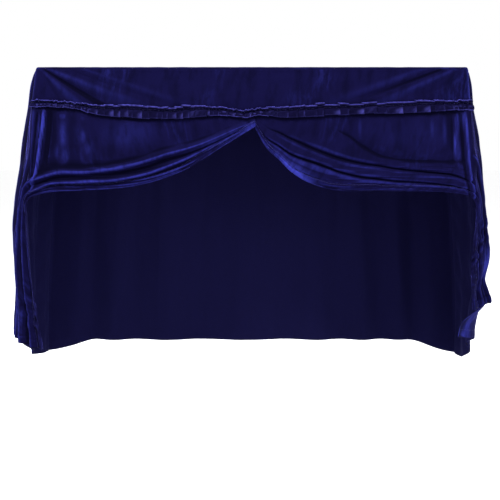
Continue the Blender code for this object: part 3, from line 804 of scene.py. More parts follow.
@dataclass(frozen=True)
class Settling:
    """How a panel's cloth is left to settle round the shape in which it was hung.

    slack is the share of extra length it has to take up in small creases, hold is how firmly it keeps its
    shape away from its sewn edges, and reach is the furthest that a point may move.
    """

    steps: int = 14
    slack: float = 0.008
    hold: float = 0.3
    reach: float = 0.005
    mass: float = 0.3
    stretching: float = 18.0
    shearing: float = 8.0
    bending: float = 6.0
    damping: float = 20.0

    def moved(self, drape: Drape, held: Array) -> Array:
        """Lets a coarse copy of a panel settle.

        Args:
            drape: The coarse panel.
            held: How firmly each point is held, from 0 to 1, at least hold.

        Returns:
            How far each point moved, as a grid of vectors.
        """
        columns, rows = drape.points.shape[:2]
        piece = drape.sheet("settling_cloth", 0.001)
        piece.modifiers.clear()
        group = piece.vertex_groups.new(name="held")
        for index, weight in enumerate(np.clip(held, self.hold, 1.0).ravel()):
            group.add([index], float(weight), "REPLACE")
        modifier = piece.modifiers.new("cloth", "CLOTH")
        cloth = modifier.settings
        cloth.quality, cloth.mass = 6, self.mass
        cloth.tension_stiffness = cloth.compression_stiffness = self.stretching
        cloth.shear_stiffness, cloth.bending_stiffness = self.shearing, self.bending
        cloth.tension_damping = cloth.compression_damping = self.damping
        cloth.vertex_group_mass, cloth.pin_stiffness = "held", 1.0
        cloth.shrink_min = -self.slack
        modifier.collision_settings.use_collision = False
        modifier.point_cache.frame_start, modifier.point_cache.frame_end = 1, self.steps
        scene = bpy.context.scene
        for step in range(1, self.steps + 1):
            scene.frame_set(step)
        settled = piece.evaluated_get(bpy.context.evaluated_depsgraph_get())
        found = np.empty(columns * rows * 3)
        settled.data.vertices.foreach_get("co", found)
        scene.frame_set(1)
        mesh = piece.data
        bpy.data.objects.remove(piece)
        bpy.data.meshes.remove(mesh)
        move = found.reshape(columns, rows, 3) - drape.points
        for axis in (0, 1, 0, 1):
            ends = [(1, 1) if i == axis else (0, 0) for i in range(3)]
            wide = np.moveaxis(np.pad(move, ends, mode="edge"), axis, 0)
            move = np.moveaxis((wide[:-2] + 2 * wide[1:-1] + wide[2:]) / 4, 0, axis)
        far = np.maximum(np.linalg.norm(move, axis=2, keepdims=True), 1e-9)
        return move * (self.reach * np.tanh(far / self.reach) / far)


@dataclass(frozen=True)
class Hem:
    """A turned hem: a doubled band along an edge, with the stitch line that holds it.

    Its heights are rise for the band, groove for the stitch line, pucker for the cloth beside that and drawn for the
    very edge. fold and darkness are the width and the depth of the shade painted along the edge where it turns under.
    """

    width: float = 0.03
    rise: float = 0.0009
    groove: float = 0.0011
    pucker: float = 0.0007
    drawn: float = 0.0006
    step: float = 0.002
    stitch_width: float = 0.0024
    pucker_reach: float = 0.01
    edge_width: float = 0.003
    fold: float = 0.0045
    darkness: float = 1.2
    puckers: tuple = (Wrinkle(1.0, 70.0, 25.0),)
    waves: tuple = (Wrinkle(0.5, 45.0, 9.0),)

    def height(self, distance: Array, along: Array, ripple: Ripple) -> Array:
        """Gives the hem's relief.

        Args:
            distance: Each point's distance from the edge.
            along: Each point's distance along the edge.
            ripple: The noise that puckers the stitch line.

        Returns:
            The height to lift each point by.
        """
        band = 1 - smooth(self.width - self.step, self.width + self.step, distance)
        edge = 1 - smooth(0.0, self.edge_width, distance)
        from_stitch = distance - self.width
        puckers = wrinkled([ripple], self.puckers, along, distance) * bell(from_stitch, self.pucker_reach)
        puckers += wrinkled([ripple], self.waves, along, distance) * band
        stitch = bell(from_stitch, self.stitch_width)
        return self.rise * band - self.groove * stitch + self.pucker * puckers - self.drawn * edge

    def shade(self, distance: Array) -> Array:
        """Gives the shade painted along the edge where the hem turns under."""
        return self.darkness * bell(distance, self.fold)


# ---- The cover's shell: its walls and corner seams ----


@dataclass
class Shell:
    """The fitted box of cloth round the piano's lid, which every panel shares."""

    lid_width: float = 1.532
    lid_depth: float = 0.38
    cloth: float = 0.002
    seam_gap: float = 0.0004
    corner: float = 0.012
    rim: float = 0.006
    parting: float = 0.012
    seam_lean: float = 0.01
    front_lean: float = 0.007
    back_flare: float = 0.058
    back_lean: float = 0.03
    free_middle: float = 0.55
    seams: dict = field(default_factory=lambda: {Side.LEFT: Curve(SEAM_LEFT), Side.RIGHT: Curve(SEAM_RIGHT)})
    waist_curve: Curve = field(default_factory=lambda: Curve(WAIST))
    trim: Curve = field(default_factory=lambda: Curve(TRIM))

    def __post_init__(self) -> None:
        """Works out the lengths that the panels share."""
        self.out = self.lid_width / 2 + self.cloth / 2
        self.front = -self.lid_depth / 2 - self.cloth / 2
        self.back = -self.front
        self.seam_front = self.front + self.corner
        self.seam_back = self.back - self.corner
        self.start = self.rim + self.seam_gap
        self.corner_run = self.corner * math.pi / 2
        self.straight_run = 2 * (self.out - self.corner)
        self.run = self.straight_run + 2 * self.corner_run

    def seam(self, side: Side, drop: Array) -> tuple[Array, Array]:
        """Gives a front corner seam's place out and forward at each drop."""
        swing = self.seams[side].at(drop, "swing")
        return self.out + swing, self.seam_front - self.seam_lean * smooth(0.2, 0.8, drop)

    def back_seam(self, drop: Array) -> tuple[Array, Array]:
        """Gives a back corner seam's place out and back at each drop."""
        out = self.out + self.back_flare * smooth(0.05, 1.05, drop)
        return out, self.seam_back + self.back_lean * smooth(0.1, 1.1, drop)

    def plan(self, share: Array) -> tuple[Array, Array, Array]:
        """Gives a wall's line at the lid, from the left seam (0) to the right one (1).

        Args:
            share: Places along the wall.

        Returns:
            The place across, the distance out from the seam, and how much of the corner's swing it takes.
        """
        share = np.asarray(share, float)
        side = np.where(share < 0.5, -1.0, 1.0)
        from_seam = np.minimum(share, 1 - share) * self.run
        turn = np.clip(from_seam / self.corner, 0, np.pi / 2)
        round_x = side * (self.out - self.corner * (1 - np.cos(turn)))
        straight_x = share * self.run - self.corner_run - self.straight_run / 2
        on_corner = from_seam < self.corner_run
        x = np.where(on_corner, round_x, straight_x)
        outer = smooth(self.free_middle, 1.0, np.abs(straight_x) / (self.out - self.corner))
        return x, self.corner * np.sin(turn), np.where(on_corner, 1.0, outer)

    def front_wall(self, share: Array, drop: Array) -> Array:
        """Gives points of the front wall.

        Args:
            share: Places from the left seam (0) to the right one (1).
            drop: Distances below the lid.

        Returns:
            The points.
        """
        share, drop = np.broadcast_arrays(np.asarray(share, float), np.asarray(drop, float))
        x, forward, pull = self.plan(share)
        left, right = self.seam(Side.LEFT, drop), self.seam(Side.RIGHT, drop)
        swing = np.where(share < 0.5, self.out - left[0], right[0] - self.out)
        back = np.where(share < 0.5, left[1], right[1]) - self.seam_front
        lean = -self.front_lean * smooth(0.0, 0.14, drop)
        y = self.seam_front - forward + mix(lean, back, pull)
        return np.stack([x + swing * pull, y, -drop], axis=-1)

    def outward(self, share: Array) -> Array:
        """Gives the direction out of the front wall.

        Args:
            share: Places from the left seam (0) to the right one (1).

        Returns:
            The direction at each place.
        """
        share = np.asarray(share, float)
        turn = np.minimum(np.minimum(share, 1 - share) * self.run / self.corner, np.pi / 2)
        side = np.where(share < 0.5, -1.0, 1.0)
        return np.stack([side * np.cos(turn), -np.sin(turn), np.zeros_like(turn)], axis=-1)

    def waist(self, share: Array) -> Array:
        """Gives how far below the lid the yoke ends."""
        return self.waist_curve.at(self.plan(share)[0], "drop")


# ---- The panels ----


@dataclass
class Panel:
    """What every panel has: the shell it belongs to, how it is held and how its cloth is dressed."""

    LEAST_AREA = 0.31

    shell: Shell
    slot: str = "blue_velvet"
    hold: Hold = Hold.HUNG
    hangs_from: tuple = ("top_velvet",)

    def build(self) -> Piece:
        """Makes the piece, and keeps its middle surface as drape."""
        raise NotImplementedError

    def stitch_lines(self) -> list:
        """Gives the panel's stitched lines, each as its points and their outward directions."""
        return []

    def stitched(self, name: str, thread: Material) -> list:
        """Sews the panel's stitched lines.

        Args:
            name: The panel's name.
            thread: The thread's material.

        Returns:
            The stitches, as a list of one piece or none.
        """
        lines = self.stitch_lines()
        if not lines:
            return []
        stitches = Stitches(f"{name}_stitches").build(lines)
        stitches.data.materials.append(thread)
        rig.ride(stitches, BODY)
        return [stitches]

    def dress(self, piece: Piece, finishes: list, thread: Material, node: str) -> None:
        """Gives a piece its finishes and its stitches, and says what it is.

        Args:
            piece: The piece.
            finishes: The outside's material and the inside's.
            thread: The thread's material.
            node: The solid that the piece stands for.
        """
        for finish in finishes:
            piece.data.materials.append(finish)
        width = round(float(self.drape.metres(0)[-1].mean()), 3)
        length = round(float(self.drape.metres(1)[:, -1].mean()), 3)
        area = min(max(self.drape.area(), self.LEAST_AREA * width * length), width * length)
        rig.ride(piece, BODY)
        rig.replaces(piece, node)
        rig.slot(piece, self.slot)
        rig.sheet(piece, flat=(width, length), held=self.hold.value, rests_on=self.hangs_from, area=area,
                 with_pieces=self.stitched(node, thread))


@dataclass
class HemmedPanel(Panel):
    """A panel with a turned hem along its last row, whose cloth is left to settle as it hangs."""

    settling: Settling = field(default_factory=Settling)
    hem: Hem = field(default_factory=Hem)
    coarser: tuple = (2, 3)

    def stitch_lines(self) -> list:
        """Gives the line that the hem is sewn along."""
        return [self.drape.line_from_edge(self.hem.width, self.shell.cloth / 2)]

    def held(self, along: Array, coarse: Drape) -> Array:
        """Gives how firmly the settling cloth is held: wholly where it is sewn, and less along its hem.

        Args:
            along: The places of the coarse panel's columns; not used here.
            coarse: The coarse panel.

        Returns:
            A share from 0 to 1 for each point.
        """
        firm = np.zeros(coarse.points.shape[:2])
        firm[[0, -1], :] = firm[:, 0] = 1.0
        firm[:, -1] = 0.5
        return firm

    def hang(self, along: Array, down: Array) -> None:
        """Args:
            along: The places of its columns.
            down: The places of its rows.
        """
        self.drape = self.surface(along, down)
        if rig.quick():
            return
        across, rows = self.coarser
        coarse = self.surface(along[::across], down[::rows])
        move = self.settling.moved(coarse, self.held(along[::across], coarse))
        self.drape.points += resampled(move, self.columns, self.rows)


@dataclass
class TopPanel(Panel):
    """The top: flat on the lid, with its rim turned down over the lid's rounded edge."""

    long_side: int = 198
    short_side: int = 52
    corner_steps: int = 9
    over_rim: int = 8
    inwards: int = 26
    inward_power: float = 0.9
    seed: int = 41
    hold: Hold = Hold.STRETCHED
    hangs_from: tuple = ("piano_lid",)
    flat: tuple = (
        Wrinkle(0.0011, 5.0, 9.0), Wrinkle(0.00055, 10.0, 18.0, ahead=17.0, aside=31.0),
        Wrinkle(0.0009, 16.0, 16.0),
    )
    beside_rim: tuple = (Wrinkle(0.0007, 22.0, 22.0, aside=5.0),)

    def outline(self, inset: float, height: float) -> Array:
        """Gives the lid's outline with its rounded corners, drawn in by inset.

        Args:
            inset: How far in.
            height: The ring's height.

        Returns:
            The ring's points.
        """
        shell = self.shell
        wide, deep = shell.out - shell.corner, shell.back - shell.corner
        radius = shell.corner - inset
        corners = ((1, 1), (-1, 1), (-1, -1), (1, -1))
        points = []
        for turn, (x, y) in enumerate(corners):
            angle = np.linspace(0, np.pi / 2, self.corner_steps) + turn * np.pi / 2
            arc = np.stack([wide * x + radius * np.cos(angle), deep * y + radius * np.sin(angle)], axis=-1)
            next_x, next_y = corners[(turn + 1) % 4]
            turned = (turn + 1) * np.pi / 2
            after = np.array([wide * next_x + radius * math.cos(turned),
                              deep * next_y + radius * math.sin(turned)])
            count = self.short_side if turn % 2 else self.long_side
            share = np.linspace(0, 1, count + 1)[1:-1, None]
            points += [arc, arc[-1] + (after - arc[-1]) * share]
        ring = np.concatenate(points)
        return np.concatenate([ring, np.full((len(ring), 1), height)], axis=1)

    def build(self) -> Piece:
        """Makes the top panel.

        Returns:
            The piece.
        """
        shell = self.shell
        radius = shell.rim + shell.cloth / 2
        rings = [
            self.outline(radius * (1 - math.cos(angle)), radius * math.sin(angle) - shell.rim)
            for angle in np.linspace(0, math.pi / 2, self.over_rim)
        ]
        edge, reach = rings[-1], shell.out - shell.back
        spine = np.stack([np.clip(edge[:, 0], -reach, reach), np.zeros(len(edge)), edge[:, 2]], axis=-1)
        shares = np.linspace(0, 1, self.inwards)[1:] ** self.inward_power
        rings += [mix(edge, spine, share) for share in shares]
        points = np.stack(rings, axis=1)
        ripples = [Ripple(self.seed)]
        x, y = points[..., 0], points[..., 1]
        from_edge = np.minimum(shell.out - np.abs(x), shell.back - np.abs(y))
        points[..., 2] += smooth(0.0, 0.05, from_edge) * wrinkled(ripples, self.flat, x, y)
        points[..., 2] += (1 - smooth(0.0, 0.03, from_edge)) * wrinkled(ripples, self.beside_rim, x, y)
        points = np.concatenate([points, points[:1]], axis=0)
        self.drape = Drape(points, -1, layout=points[..., [1, 0]])
        piece = self.drape.sheet("top_velvet", shell.cloth)
        self.close(piece)
        return piece

    def close(self, piece: Piece) -> None:
        """Joins the grid's first and last columns and its inmost ring, with the outside up.

        Args:
            piece: The piece.
        """
        work = bmesh.new()
        work.from_mesh(piece.data)
        bmesh.ops.remove_doubles(work, verts=work.verts, dist=0.00002)
        bmesh.ops.recalc_face_normals(work, faces=work.faces)
        if sum(face.normal.z * face.calc_area() for face in work.faces) < 0:
            bmesh.ops.reverse_faces(work, faces=work.faces)
        work.to_mesh(piece.data)
        work.free()


class Pull(NamedTuple):
    """A soft ridge, or below nothing a hollow, in the yoke.

    It starts at a distance in from a corner of the lid and runs down and inwards at a slant, growing wider as
    it goes. side is the corner's: -1 on the left or 1 on the right.
    """

    side: int
    start: float
    slant: float
    height: float
    width: float
    spread: float


@dataclass
class FrontYoke(Panel):
    """The shallow flat strip across the upper front.

    A ridge of the set height gets the whole painted highlight and a hollow as deep the whole painted shade, of which
    the ridge shows a share. A highlight is painted at both corners, and by corner_lopsided more at the right one and
    less at the left.
    """

    columns: int = 361
    rows: int = 46
    seed: int = 11
    hold: Hold = Hold.STRETCHED
    full_light_height: float = 0.0036
    highlight_share: float = 0.15
    corner_highlight: float = 0.5
    corner_lopsided: float = 0.3
    corner_width: float = 0.006
    seam_ridge: float = 0.0006
    seam_width: float = 0.003
    soft: tuple = (Wrinkle(0.0007, 5.0, 14.0), Wrinkle(0.00035, 10.0, 28.0, ahead=17.0, aside=31.0))
    fine: tuple = (Wrinkle(0.0007, 26.0, 40.0, aside=9.0),)
    pulls: tuple = (
        Pull(-1, 0.012, 1.17, 0.0034, 0.008, 0.1), Pull(-1, 0.014, 0.75, -0.0018, 0.006, 0.06),
        Pull(-1, 0.021, 1.66, -0.0046, 0.008, 0.12), Pull(-1, 0.033, 2.52, 0.0036, 0.014, 0.26),
        Pull(-1, 0.106, 2.65, -0.0016, 0.012, 0.14), Pull(-1, 0.156, 2.87, 0.0022, 0.012, 0.2),
        Pull(1, 0.035, 2.24, 0.0034, 0.012, 0.18), Pull(1, 0.08, 2.69, -0.0034, 0.014, 0.2),
        Pull(1, 0.151, 2.64, 0.003, 0.018, 0.28), Pull(1, -0.049, 2.18, -0.0014, 0.01, 0.12),
    )

    def surface(self, share: Array, down: Array) -> Drape:
        """Gives the yoke's middle surface.

        Args:
            share: Places across, from the left seam to the right one.
            down: Shares of the way down.

        Returns:
            The surface.
        """
        shell, ripples = self.shell, [Ripple(self.seed)]
        share, down = share[:, None], down[None, :]
        drop = mix(shell.start, shell.waist(share) - shell.seam_gap / 2, down)
        points = shell.front_wall(share, drop)
        x = shell.plan(share)[0]
        from_corner = shell.out - np.abs(x)
        height, worn = np.zeros(drop.shape), np.zeros(drop.shape)
        for pull in self.pulls:
            far = from_corner - pull.start - pull.slant * drop
            ridge = bell(far, pull.width + pull.spread * drop) * (np.sign(x) == pull.side)
            height += pull.height * ridge
            worn += pull.height * ridge * (1 - 0.6 * smooth(0.15, 0.45, from_corner))
        height += wrinkled(ripples, self.soft, x, drop)
        trim = shell.trim.at(x, "top")
        height *= smooth(0.0, 0.05, drop) * (1 - smooth(trim - 0.04, trim - 0.004, drop))
        height *= smooth(0.006, 0.04, from_corner)
        height += wrinkled(ripples, self.fine, x, drop) * smooth(0.0, 0.02, drop)
        height += self.seam_ridge * bell(drop - shell.start - 0.004, self.seam_width)
        # Painted highlight on the pulls' ridges and at the corners, and painted shade in the pulls' hollows.
        shine = self.corner_highlight + self.corner_lopsided * np.sign(x)
        at_corner = shine * bell(from_corner, self.corner_width)
        worn = np.clip(worn / self.full_light_height, -1, 1)
        painted_dark = np.minimum(worn, 0)
        handled = np.maximum(worn * self.highlight_share, at_corner)
        marks = {"folds": painted_dark, "creases": painted_dark, "handled": handled}
        return Drape(points + shell.outward(share) * height[..., None], 1, marks=marks)

    def build(self) -> Piece:
        """Makes the yoke."""
        self.drape = self.surface(np.linspace(0, 1, self.columns), np.linspace(0, 1, self.rows))
        return self.drape.sheet("yoke_velvet", self.shell.cloth)


@dataclass
class SweptCurtain(HemmedPanel):
    """A curtain that is swept outwards in long folds and falls down the piano's side.

    A place on it is given along it, from 0 at the parting to 1 at the piano's arm and 2 at its foot, and across it,
    from 0 at the yoke and the corner seam to 1 at its free edge. seam_end is how far down the corner seam goes. The
    next three fields set the shade painted behind the corner: its depth, its place along and its width.
    """

    CREST = 0.14
    CREST_WIDTH = 0.01
    PLEAT_WIDTH = 0.0045
    PLEAT_FADE = 0.45
    GRIP_WIDTH = 0.11
    TURN = math.radians(52)

    side: Side = Side.LEFT
    seam_end: float = 0.95
    corner_shade: float = 0.0
    corner_shade_place: float = 1.12
    corner_shade_width: float = 0.15
    foot_hem: tuple = (0.05, 0.06)
    seed: int = 3
    columns: int = 349
    rows: int = 133
    coarser: tuple = (3, 3)
    hold: Hold = Hold.GATHERED
    hangs_from: tuple = ("yoke_velvet",)
    guide_rows: tuple = (7 / 24, 13 / 24, 18 / 24)

    def __post_init__(self) -> None:
        """Reads the tables for this side.

        The share of the relief that is painted as highlight on raised cloth is set first, and grip is where the tail
        was gripped.
        """
        left = self.side is Side.LEFT
        self.edge = Curve(EDGE_LEFT if left else EDGE_RIGHT)
        self.guides = [Curve(fold) for fold in (GUIDES_LEFT if left else GUIDES_RIGHT)]
        self.broad = [Curve(fold) for fold in (BROAD_LEFT if left else BROAD_RIGHT)]
        self.pleats = PLEATS_LEFT if left else PLEATS_RIGHT
        self.crests = CRESTS_LEFT if left else CRESTS_RIGHT
        self.lighting, self.grip = (0.75, 1.8) if left else (0.55, 1.56)
        self.patches = PATCHES_LEFT if left else PATCHES_RIGHT
        self.ripples = [Ripple(self.seed * 10 + i) for i in range(6)]

    def sewn(self, along: Array) -> Array:
        """Gives the sewn border: under the yoke up to along 1, then down the corner seam.

        Args:
            along: Places along the curtain.

        Returns:
            The border's points.
        """
        shell, side = self.shell, self.side
        middle = 0.5 + (shell.parting + side.value * shell.seam_gap) / shell.run
        share = mix(middle, 0.0 if side is Side.LEFT else 1.0, np.minimum(along, 1.0))
        start = shell.waist(share) + shell.seam_gap / 2
        under_yoke = shell.front_wall(share, start)
        drop = mix(start, self.seam_end, np.clip(along - 1.0, 0.0, 1.0))
        out, forward = shell.seam(side, drop)
        down_seam = np.stack([side.value * out, forward, -drop], axis=-1)
        return np.where((along <= 1.0)[..., None], under_yoke, down_seam)

    def free(self, along: Array) -> Array:
        """Gives the free border: the swept edge up to along 1, then the tail's front edge.

        Args:
            along: Places along the curtain.

        Returns:
            The border's points.
        """
        out, forward, drop = (self.edge.at(along, name) for name in ("out", "forward", "drop"))
        y = self.shell.front - self.shell.front_lean - forward
        return np.stack([self.side.value * out, y, -drop], axis=-1)

    def across(self, along: Array, row: Array) -> Array:
        """Gives the place across of each of the grid's rows, which run along the main folds.

        Args:
            along: Places along the curtain.
            row: Rows of its grid, from 0 to 1.

        Returns:
            The place across of each point.
        """
        zero = np.zeros_like(along)
        places = [zero, *(guide.at(along, "across") for guide in self.guides), zero + 1]
        rows = (0.0, *self.guide_rows, 1.0)
        across = np.zeros(np.broadcast(along, row).shape)
        for i in range(len(rows) - 1):
            inside = (row >= rows[i]) & (row <= rows[i + 1])
            part = mix(places[i], places[i + 1], (row - rows[i]) / (rows[i + 1] - rows[i]))
            across = np.where(inside, part, across)
        return across

    def folds(self, along: Array, across: Array) -> Array:
        """Gives how far the main folds and the hanging pleats lift the cloth.

        Args:
            along: Places along the curtain.
            across: Places across it.

        Returns:
            The height at each place.
        """
        height = np.zeros(across.shape)
        for i, fold in enumerate(self.guides + self.broad):
            place, size, width = (fold.at(along, name) for name in ("across", "height", "width"))
            shape = np.where(size > 0, roll(across - place, width), nick(across - place, width * 1.15))
            height += size * shape
            if i < len(self.guides):
                height += np.maximum(size, 0.0) * self.CREST * nick(across - place, width * 0.34)
        for pleat in self.pleats:
            fade = 1 - smooth(pleat.reach - self.PLEAT_FADE, pleat.reach, across)
            height += pleat.height * roll(along - pleat.along - pleat.lean * across, pleat.width) * fade
        return height

    def creases(self, along: Array, across: Array) -> Array:
        """Gives the small folds and creases that run along the gathered cloth.

        Args:
            along: Places along the curtain.
            across: Places across it.

        Returns:
            The height at each place.
        """
        gathered = smooth(0.34, 0.66, across) * (1 - 0.45 * smooth(1.0, 1.4, along))
        parts = (
            (gathered, GATHERED),
            (1 - gathered, SMOOTH),
            (smooth(1.05, 1.35, along), TAIL),
            (bell(along - self.grip, self.GRIP_WIDTH), GRIPPED),
        )
        return sum(share * wrinkled(self.ripples, layers, along, across) for share, layers in parts)

    def surface(self, along: Array, row: Array) -> Drape:
        """Gives the curtain's middle surface.

        Args:
            along: Places along it.
            row: Rows of its grid, from 0 to 1.

        Returns:
            The surface.
        """
        along, row = along[:, None], row[None, :]
        across = self.across(along, row)
        along = np.broadcast_to(along, across.shape)
        sewn, free = self.sewn(along), self.free(along)
        in_tail, at_corner = smooth(0.95, 1.5, along), smooth(0.88, 1.0, along)
        down = mix(1 - (1 - across) ** 1.7, across, in_tail)
        shares = (
            mix(mix(down, down**2, at_corner), across**2, in_tail),
            mix(mix(down**1.6, down, at_corner), across, in_tail),
            down,
        )
        points = np.stack([mix(sewn[..., i], free[..., i], shares[i]) for i in range(3)], axis=-1)
        turn = self.TURN * smooth(0.9, 1.1, along)
        lift = self.folds(along, across) + self.creases(along, across)
        lift *= smooth(0.0, 0.1, across) * (0.35 + 0.65 * smooth(0.0, 0.1, along))
        trim = self.shell.trim.at(points[..., 0], "bottom")
        clear = smooth(trim + 0.001, trim + 0.028, -points[..., 2])
        lift *= np.where(along < 1.0, clear, 1.0)
        points[..., 0] += self.side.value * np.sin(turn) * lift
        points[..., 1] -= np.cos(turn) * lift
        return Drape(points, self.side.value)

    def held(self, along: Array, coarse: Drape) -> Array:
        """Gives how firmly the settling cloth is held: wholly where it is sewn or under the trim.

        Args:
            along: The places of the coarse curtain's columns.
            coarse: The coarse curtain.

        Returns:
            A share from 0 to 1 for each point.
        """
        firm = np.zeros(coarse.points.shape[:2])
        firm[[0, -1], :] = 0.6
        firm[:, [0, 1]] = 1.0
        firm[:, -1] = 0.5
        trim = self.shell.trim.at(coarse.points[..., 0], "bottom")
        under_trim = 1 - smooth(trim + 0.002, trim + 0.03, -coarse.points[..., 2])
        return np.maximum(firm, np.where(along[:, None] < 1.02, under_trim, 0.0))

    def brushing(self, along: Array, across: Array) -> Array:
        """Gives where the pile is brushed and where highlights are painted: in patches, and along the crests and the
        pleats.

        Args:
            along: Places along the curtain.
            across: Places across it.

        Returns:
            How far the pile is brushed and highlighted at each place.
        """
        streaks, in_tail = self.ripples[5], smooth(0.98, 1.12, along)
        # Brushed pile with painted highlights, in patches.
        handled = brushed(self.patches, along, across)
        handled *= 0.9 + 0.35 * streaks.at(along * 22, across * 7 + 3)
        uneven = 0.75 + 0.35 * streaks.at(along * 7, across * 3)
        # Highlights painted along the guides' crests, and along the pleats below.
        for guide, crest in zip(self.guides, self.crests):
            line = bell(across - guide.at(along, "across"), self.CREST_WIDTH)
            handled = np.maximum(handled, mix(crest.front, crest.tail, in_tail) * uneven * line)
        for pleat in self.pleats:
            line = bell(along - pleat.along - pleat.lean * across, self.PLEAT_WIDTH)
            line = line * (1 - smooth(pleat.reach - self.PLEAT_FADE, pleat.reach, across))
            handled = np.maximum(handled, pleat.worn * line)
        return handled

    def wear(self, along: Array, across: Array) -> None:
        """Marks where the pile is brushed and highlights are painted, and paints shade below the trim, behind the
        corner and along the foot hem.

        Args:
            along: Places along the curtain.
            across: Places across it.
        """
        drape = self.drape
        below = -drape.points[..., 2] - self.shell.trim.at(drape.points[..., 0], "bottom")
        # A shadow painted on the cloth just below the trim.
        shade = 0.8 * bell(np.maximum(below - 0.002, 0), 0.012) * (along < 1.0)
        calm = mix(self.lighting, 0.6, smooth(0.98, 1.12, along)) * (1 - 0.8 * bell(along - 1.0, 0.04))
        drape.marks["handled"] = self.brushing(along, across) * (1 - shade)
        # Highlights painted on raised folds and creases, less near the arm; hollows keep their painted shade.
        for mark in ("folds", "creases"):
            relief = drape.relief(mark)
            drape.marks[mark] = np.where(relief > 0, relief * calm, relief)
        # Shade painted behind the corner.
        darkening = self.corner_shade * bell(along - self.corner_shade_place, self.corner_shade_width) * (1 - smooth(0.35, 0.7, across))
        # Painted shadow below the trim, painted shade behind the corner and along the foot hem's edge, all darkening
        # the folds mark.
        drape.marks["folds"] -= shade + darkening + self.hem.shade(self.from_foot)

    def build(self) -> Piece:
        """Makes the curtain.

        Returns:
            The piece.
        """
        along, row = np.linspace(0, 2, self.columns), np.linspace(0, 1, self.rows)
        self.hang(along, row)
        across, down = self.drape.metres(1), self.drape.metres(0)
        from_edge = self.drape.from_last_row()
        self.from_foot = down[-1:, :] - down
        front_hem = self.hem.height(from_edge, down, self.ripples[4])
        foot_hem = self.hem.height(self.from_foot, across, self.ripples[4])
        at_foot = smooth(0.0, self.hem.width, from_edge) * (1 - smooth(*self.foot_hem, self.from_foot))
        self.drape.lift(mix(front_hem, foot_hem, at_foot))
        places = np.broadcast_to(along[:, None], across.shape)
        self.wear(places, self.across(along[:, None], row[None, :]))
        return self.drape.sheet(f"curtain_{self.side.name.lower()}_velvet", self.shell.cloth)


@dataclass
class SidePanel(HemmedPanel):
    """A side of the skirt, which flares as it falls.

    Below free_from its front edge hangs free and curls inwards by curl, where a highlight is painted, by the next
    field for each metre of the curl. Shade is painted on its front beside the curtain, by the field after that. The
    cloth falls out under the seam by billow, more on the left and less on the right by lopsided.
    """

    side: Side = Side.LEFT
    seed: int = 60
    free_from: float = 0.95
    curl: float = 0.0
    lighting: float = 18.0
    corner_shade: float = 0.25
    front_hem: float = 0.965
    back_hem: float = 1.115
    hem_wave: float = 0.01
    billow: float = 0.029
    lopsided: float = 0.003
    fold: float = 0.012
    columns: int = 91
    rows: int = 181
    wrinkles: tuple = (
        Wrinkle(0.005, 7.0, 1.4), Wrinkle(0.0022, 15.0, 2.6, ahead=5.0),
        Wrinkle(0.0016, 5.0, 14.0, ahead=9.0),
    )

    def hem_drop(self, back: Array) -> Array:
        """Gives how far down the panel reaches, from its front seam (0) to its back seam (1)."""
        wave = np.sin(9.0 * back + 1.4 - 0.8 * self.side.value)
        return mix(self.front_hem, self.back_hem, smooth(0.0, 1.0, back)) + self.hem_wave * wave

    def surface(self, back: Array, share: Array) -> Drape:
        """Gives the panel's middle surface.

        Args:
            back: Places from the front seam to the back seam.
            share: Shares of the way down.

        Returns:
            The surface.
        """
        shell, ripple = self.shell, Ripple(self.seed)
        back, share = back[:, None], share[None, :]
        drop = mix(shell.start, self.hem_drop(back), share)
        front, rear = shell.seam(self.side, drop), shell.back_seam(drop)
        x = mix(front[0], rear[0], smooth(0.0, 1.0, back))
        y = mix(front[1] + shell.seam_gap, rear[1], back)
        ramp = mix(0.07, 0.16, smooth(0.05, 0.16, drop))
        inner = smooth(0.0, ramp, back) * smooth(0.0, 0.2, 1 - back)
        billow = self.billow - self.lopsided * self.side.value
        billow = billow * np.clip((drop - shell.start) / 0.24, 0, 1) ** 0.4
        billow *= 1 - 0.55 * smooth(0.42, 0.85, drop)
        phase = 2 * np.pi * (3.2 * back + 0.12 * self.side.value)
        fold = self.fold * smooth(0.12, 1.0, drop) * (1 + np.sin(phase))
        small = wrinkled([ripple], self.wrinkles, back, drop) * smooth(0.02, 0.5, drop)
        loose = smooth(self.free_from, self.free_from + 0.09, drop) * (1 - smooth(0.02, 0.24, back))
        x = x + inner * (billow + fold + small) - self.curl * loose
        # A highlight painted along the curled edge.
        curl_highlight = self.curl * self.lighting * loose * (0.7 + 0.3 * ripple.at(back * 30, drop * 20))
        points = np.stack([self.side.value * x, y, -drop], axis=-1)
        return Drape(points, self.side.value, marks={"handled": curl_highlight})

    def build(self) -> Piece:
        """Makes the side panel.

        Returns:
            The piece.
        """
        back = np.linspace(0, 1, self.columns)
        self.hang(back, np.linspace(0, 1, self.rows))
        from_edge = self.drape.from_last_row()
        self.drape.lift(self.hem.height(from_edge, self.drape.metres(0), Ripple(self.seed + 1)))
        # Shade painted on the front beside the curtain, and along the hem's edge.
        darkening = self.corner_shade * (1 - smooth(0.35, 0.65, back[:, None]))
        darkening = darkening * (1 - smooth(0.4, 0.6, -self.drape.points[..., 2]))
        self.drape.marks["folds"] = self.drape.relief("folds") - self.hem.shade(from_edge) - darkening
        return self.drape.sheet(f"side_{self.side.name.lower()}_velvet", self.shell.cloth)


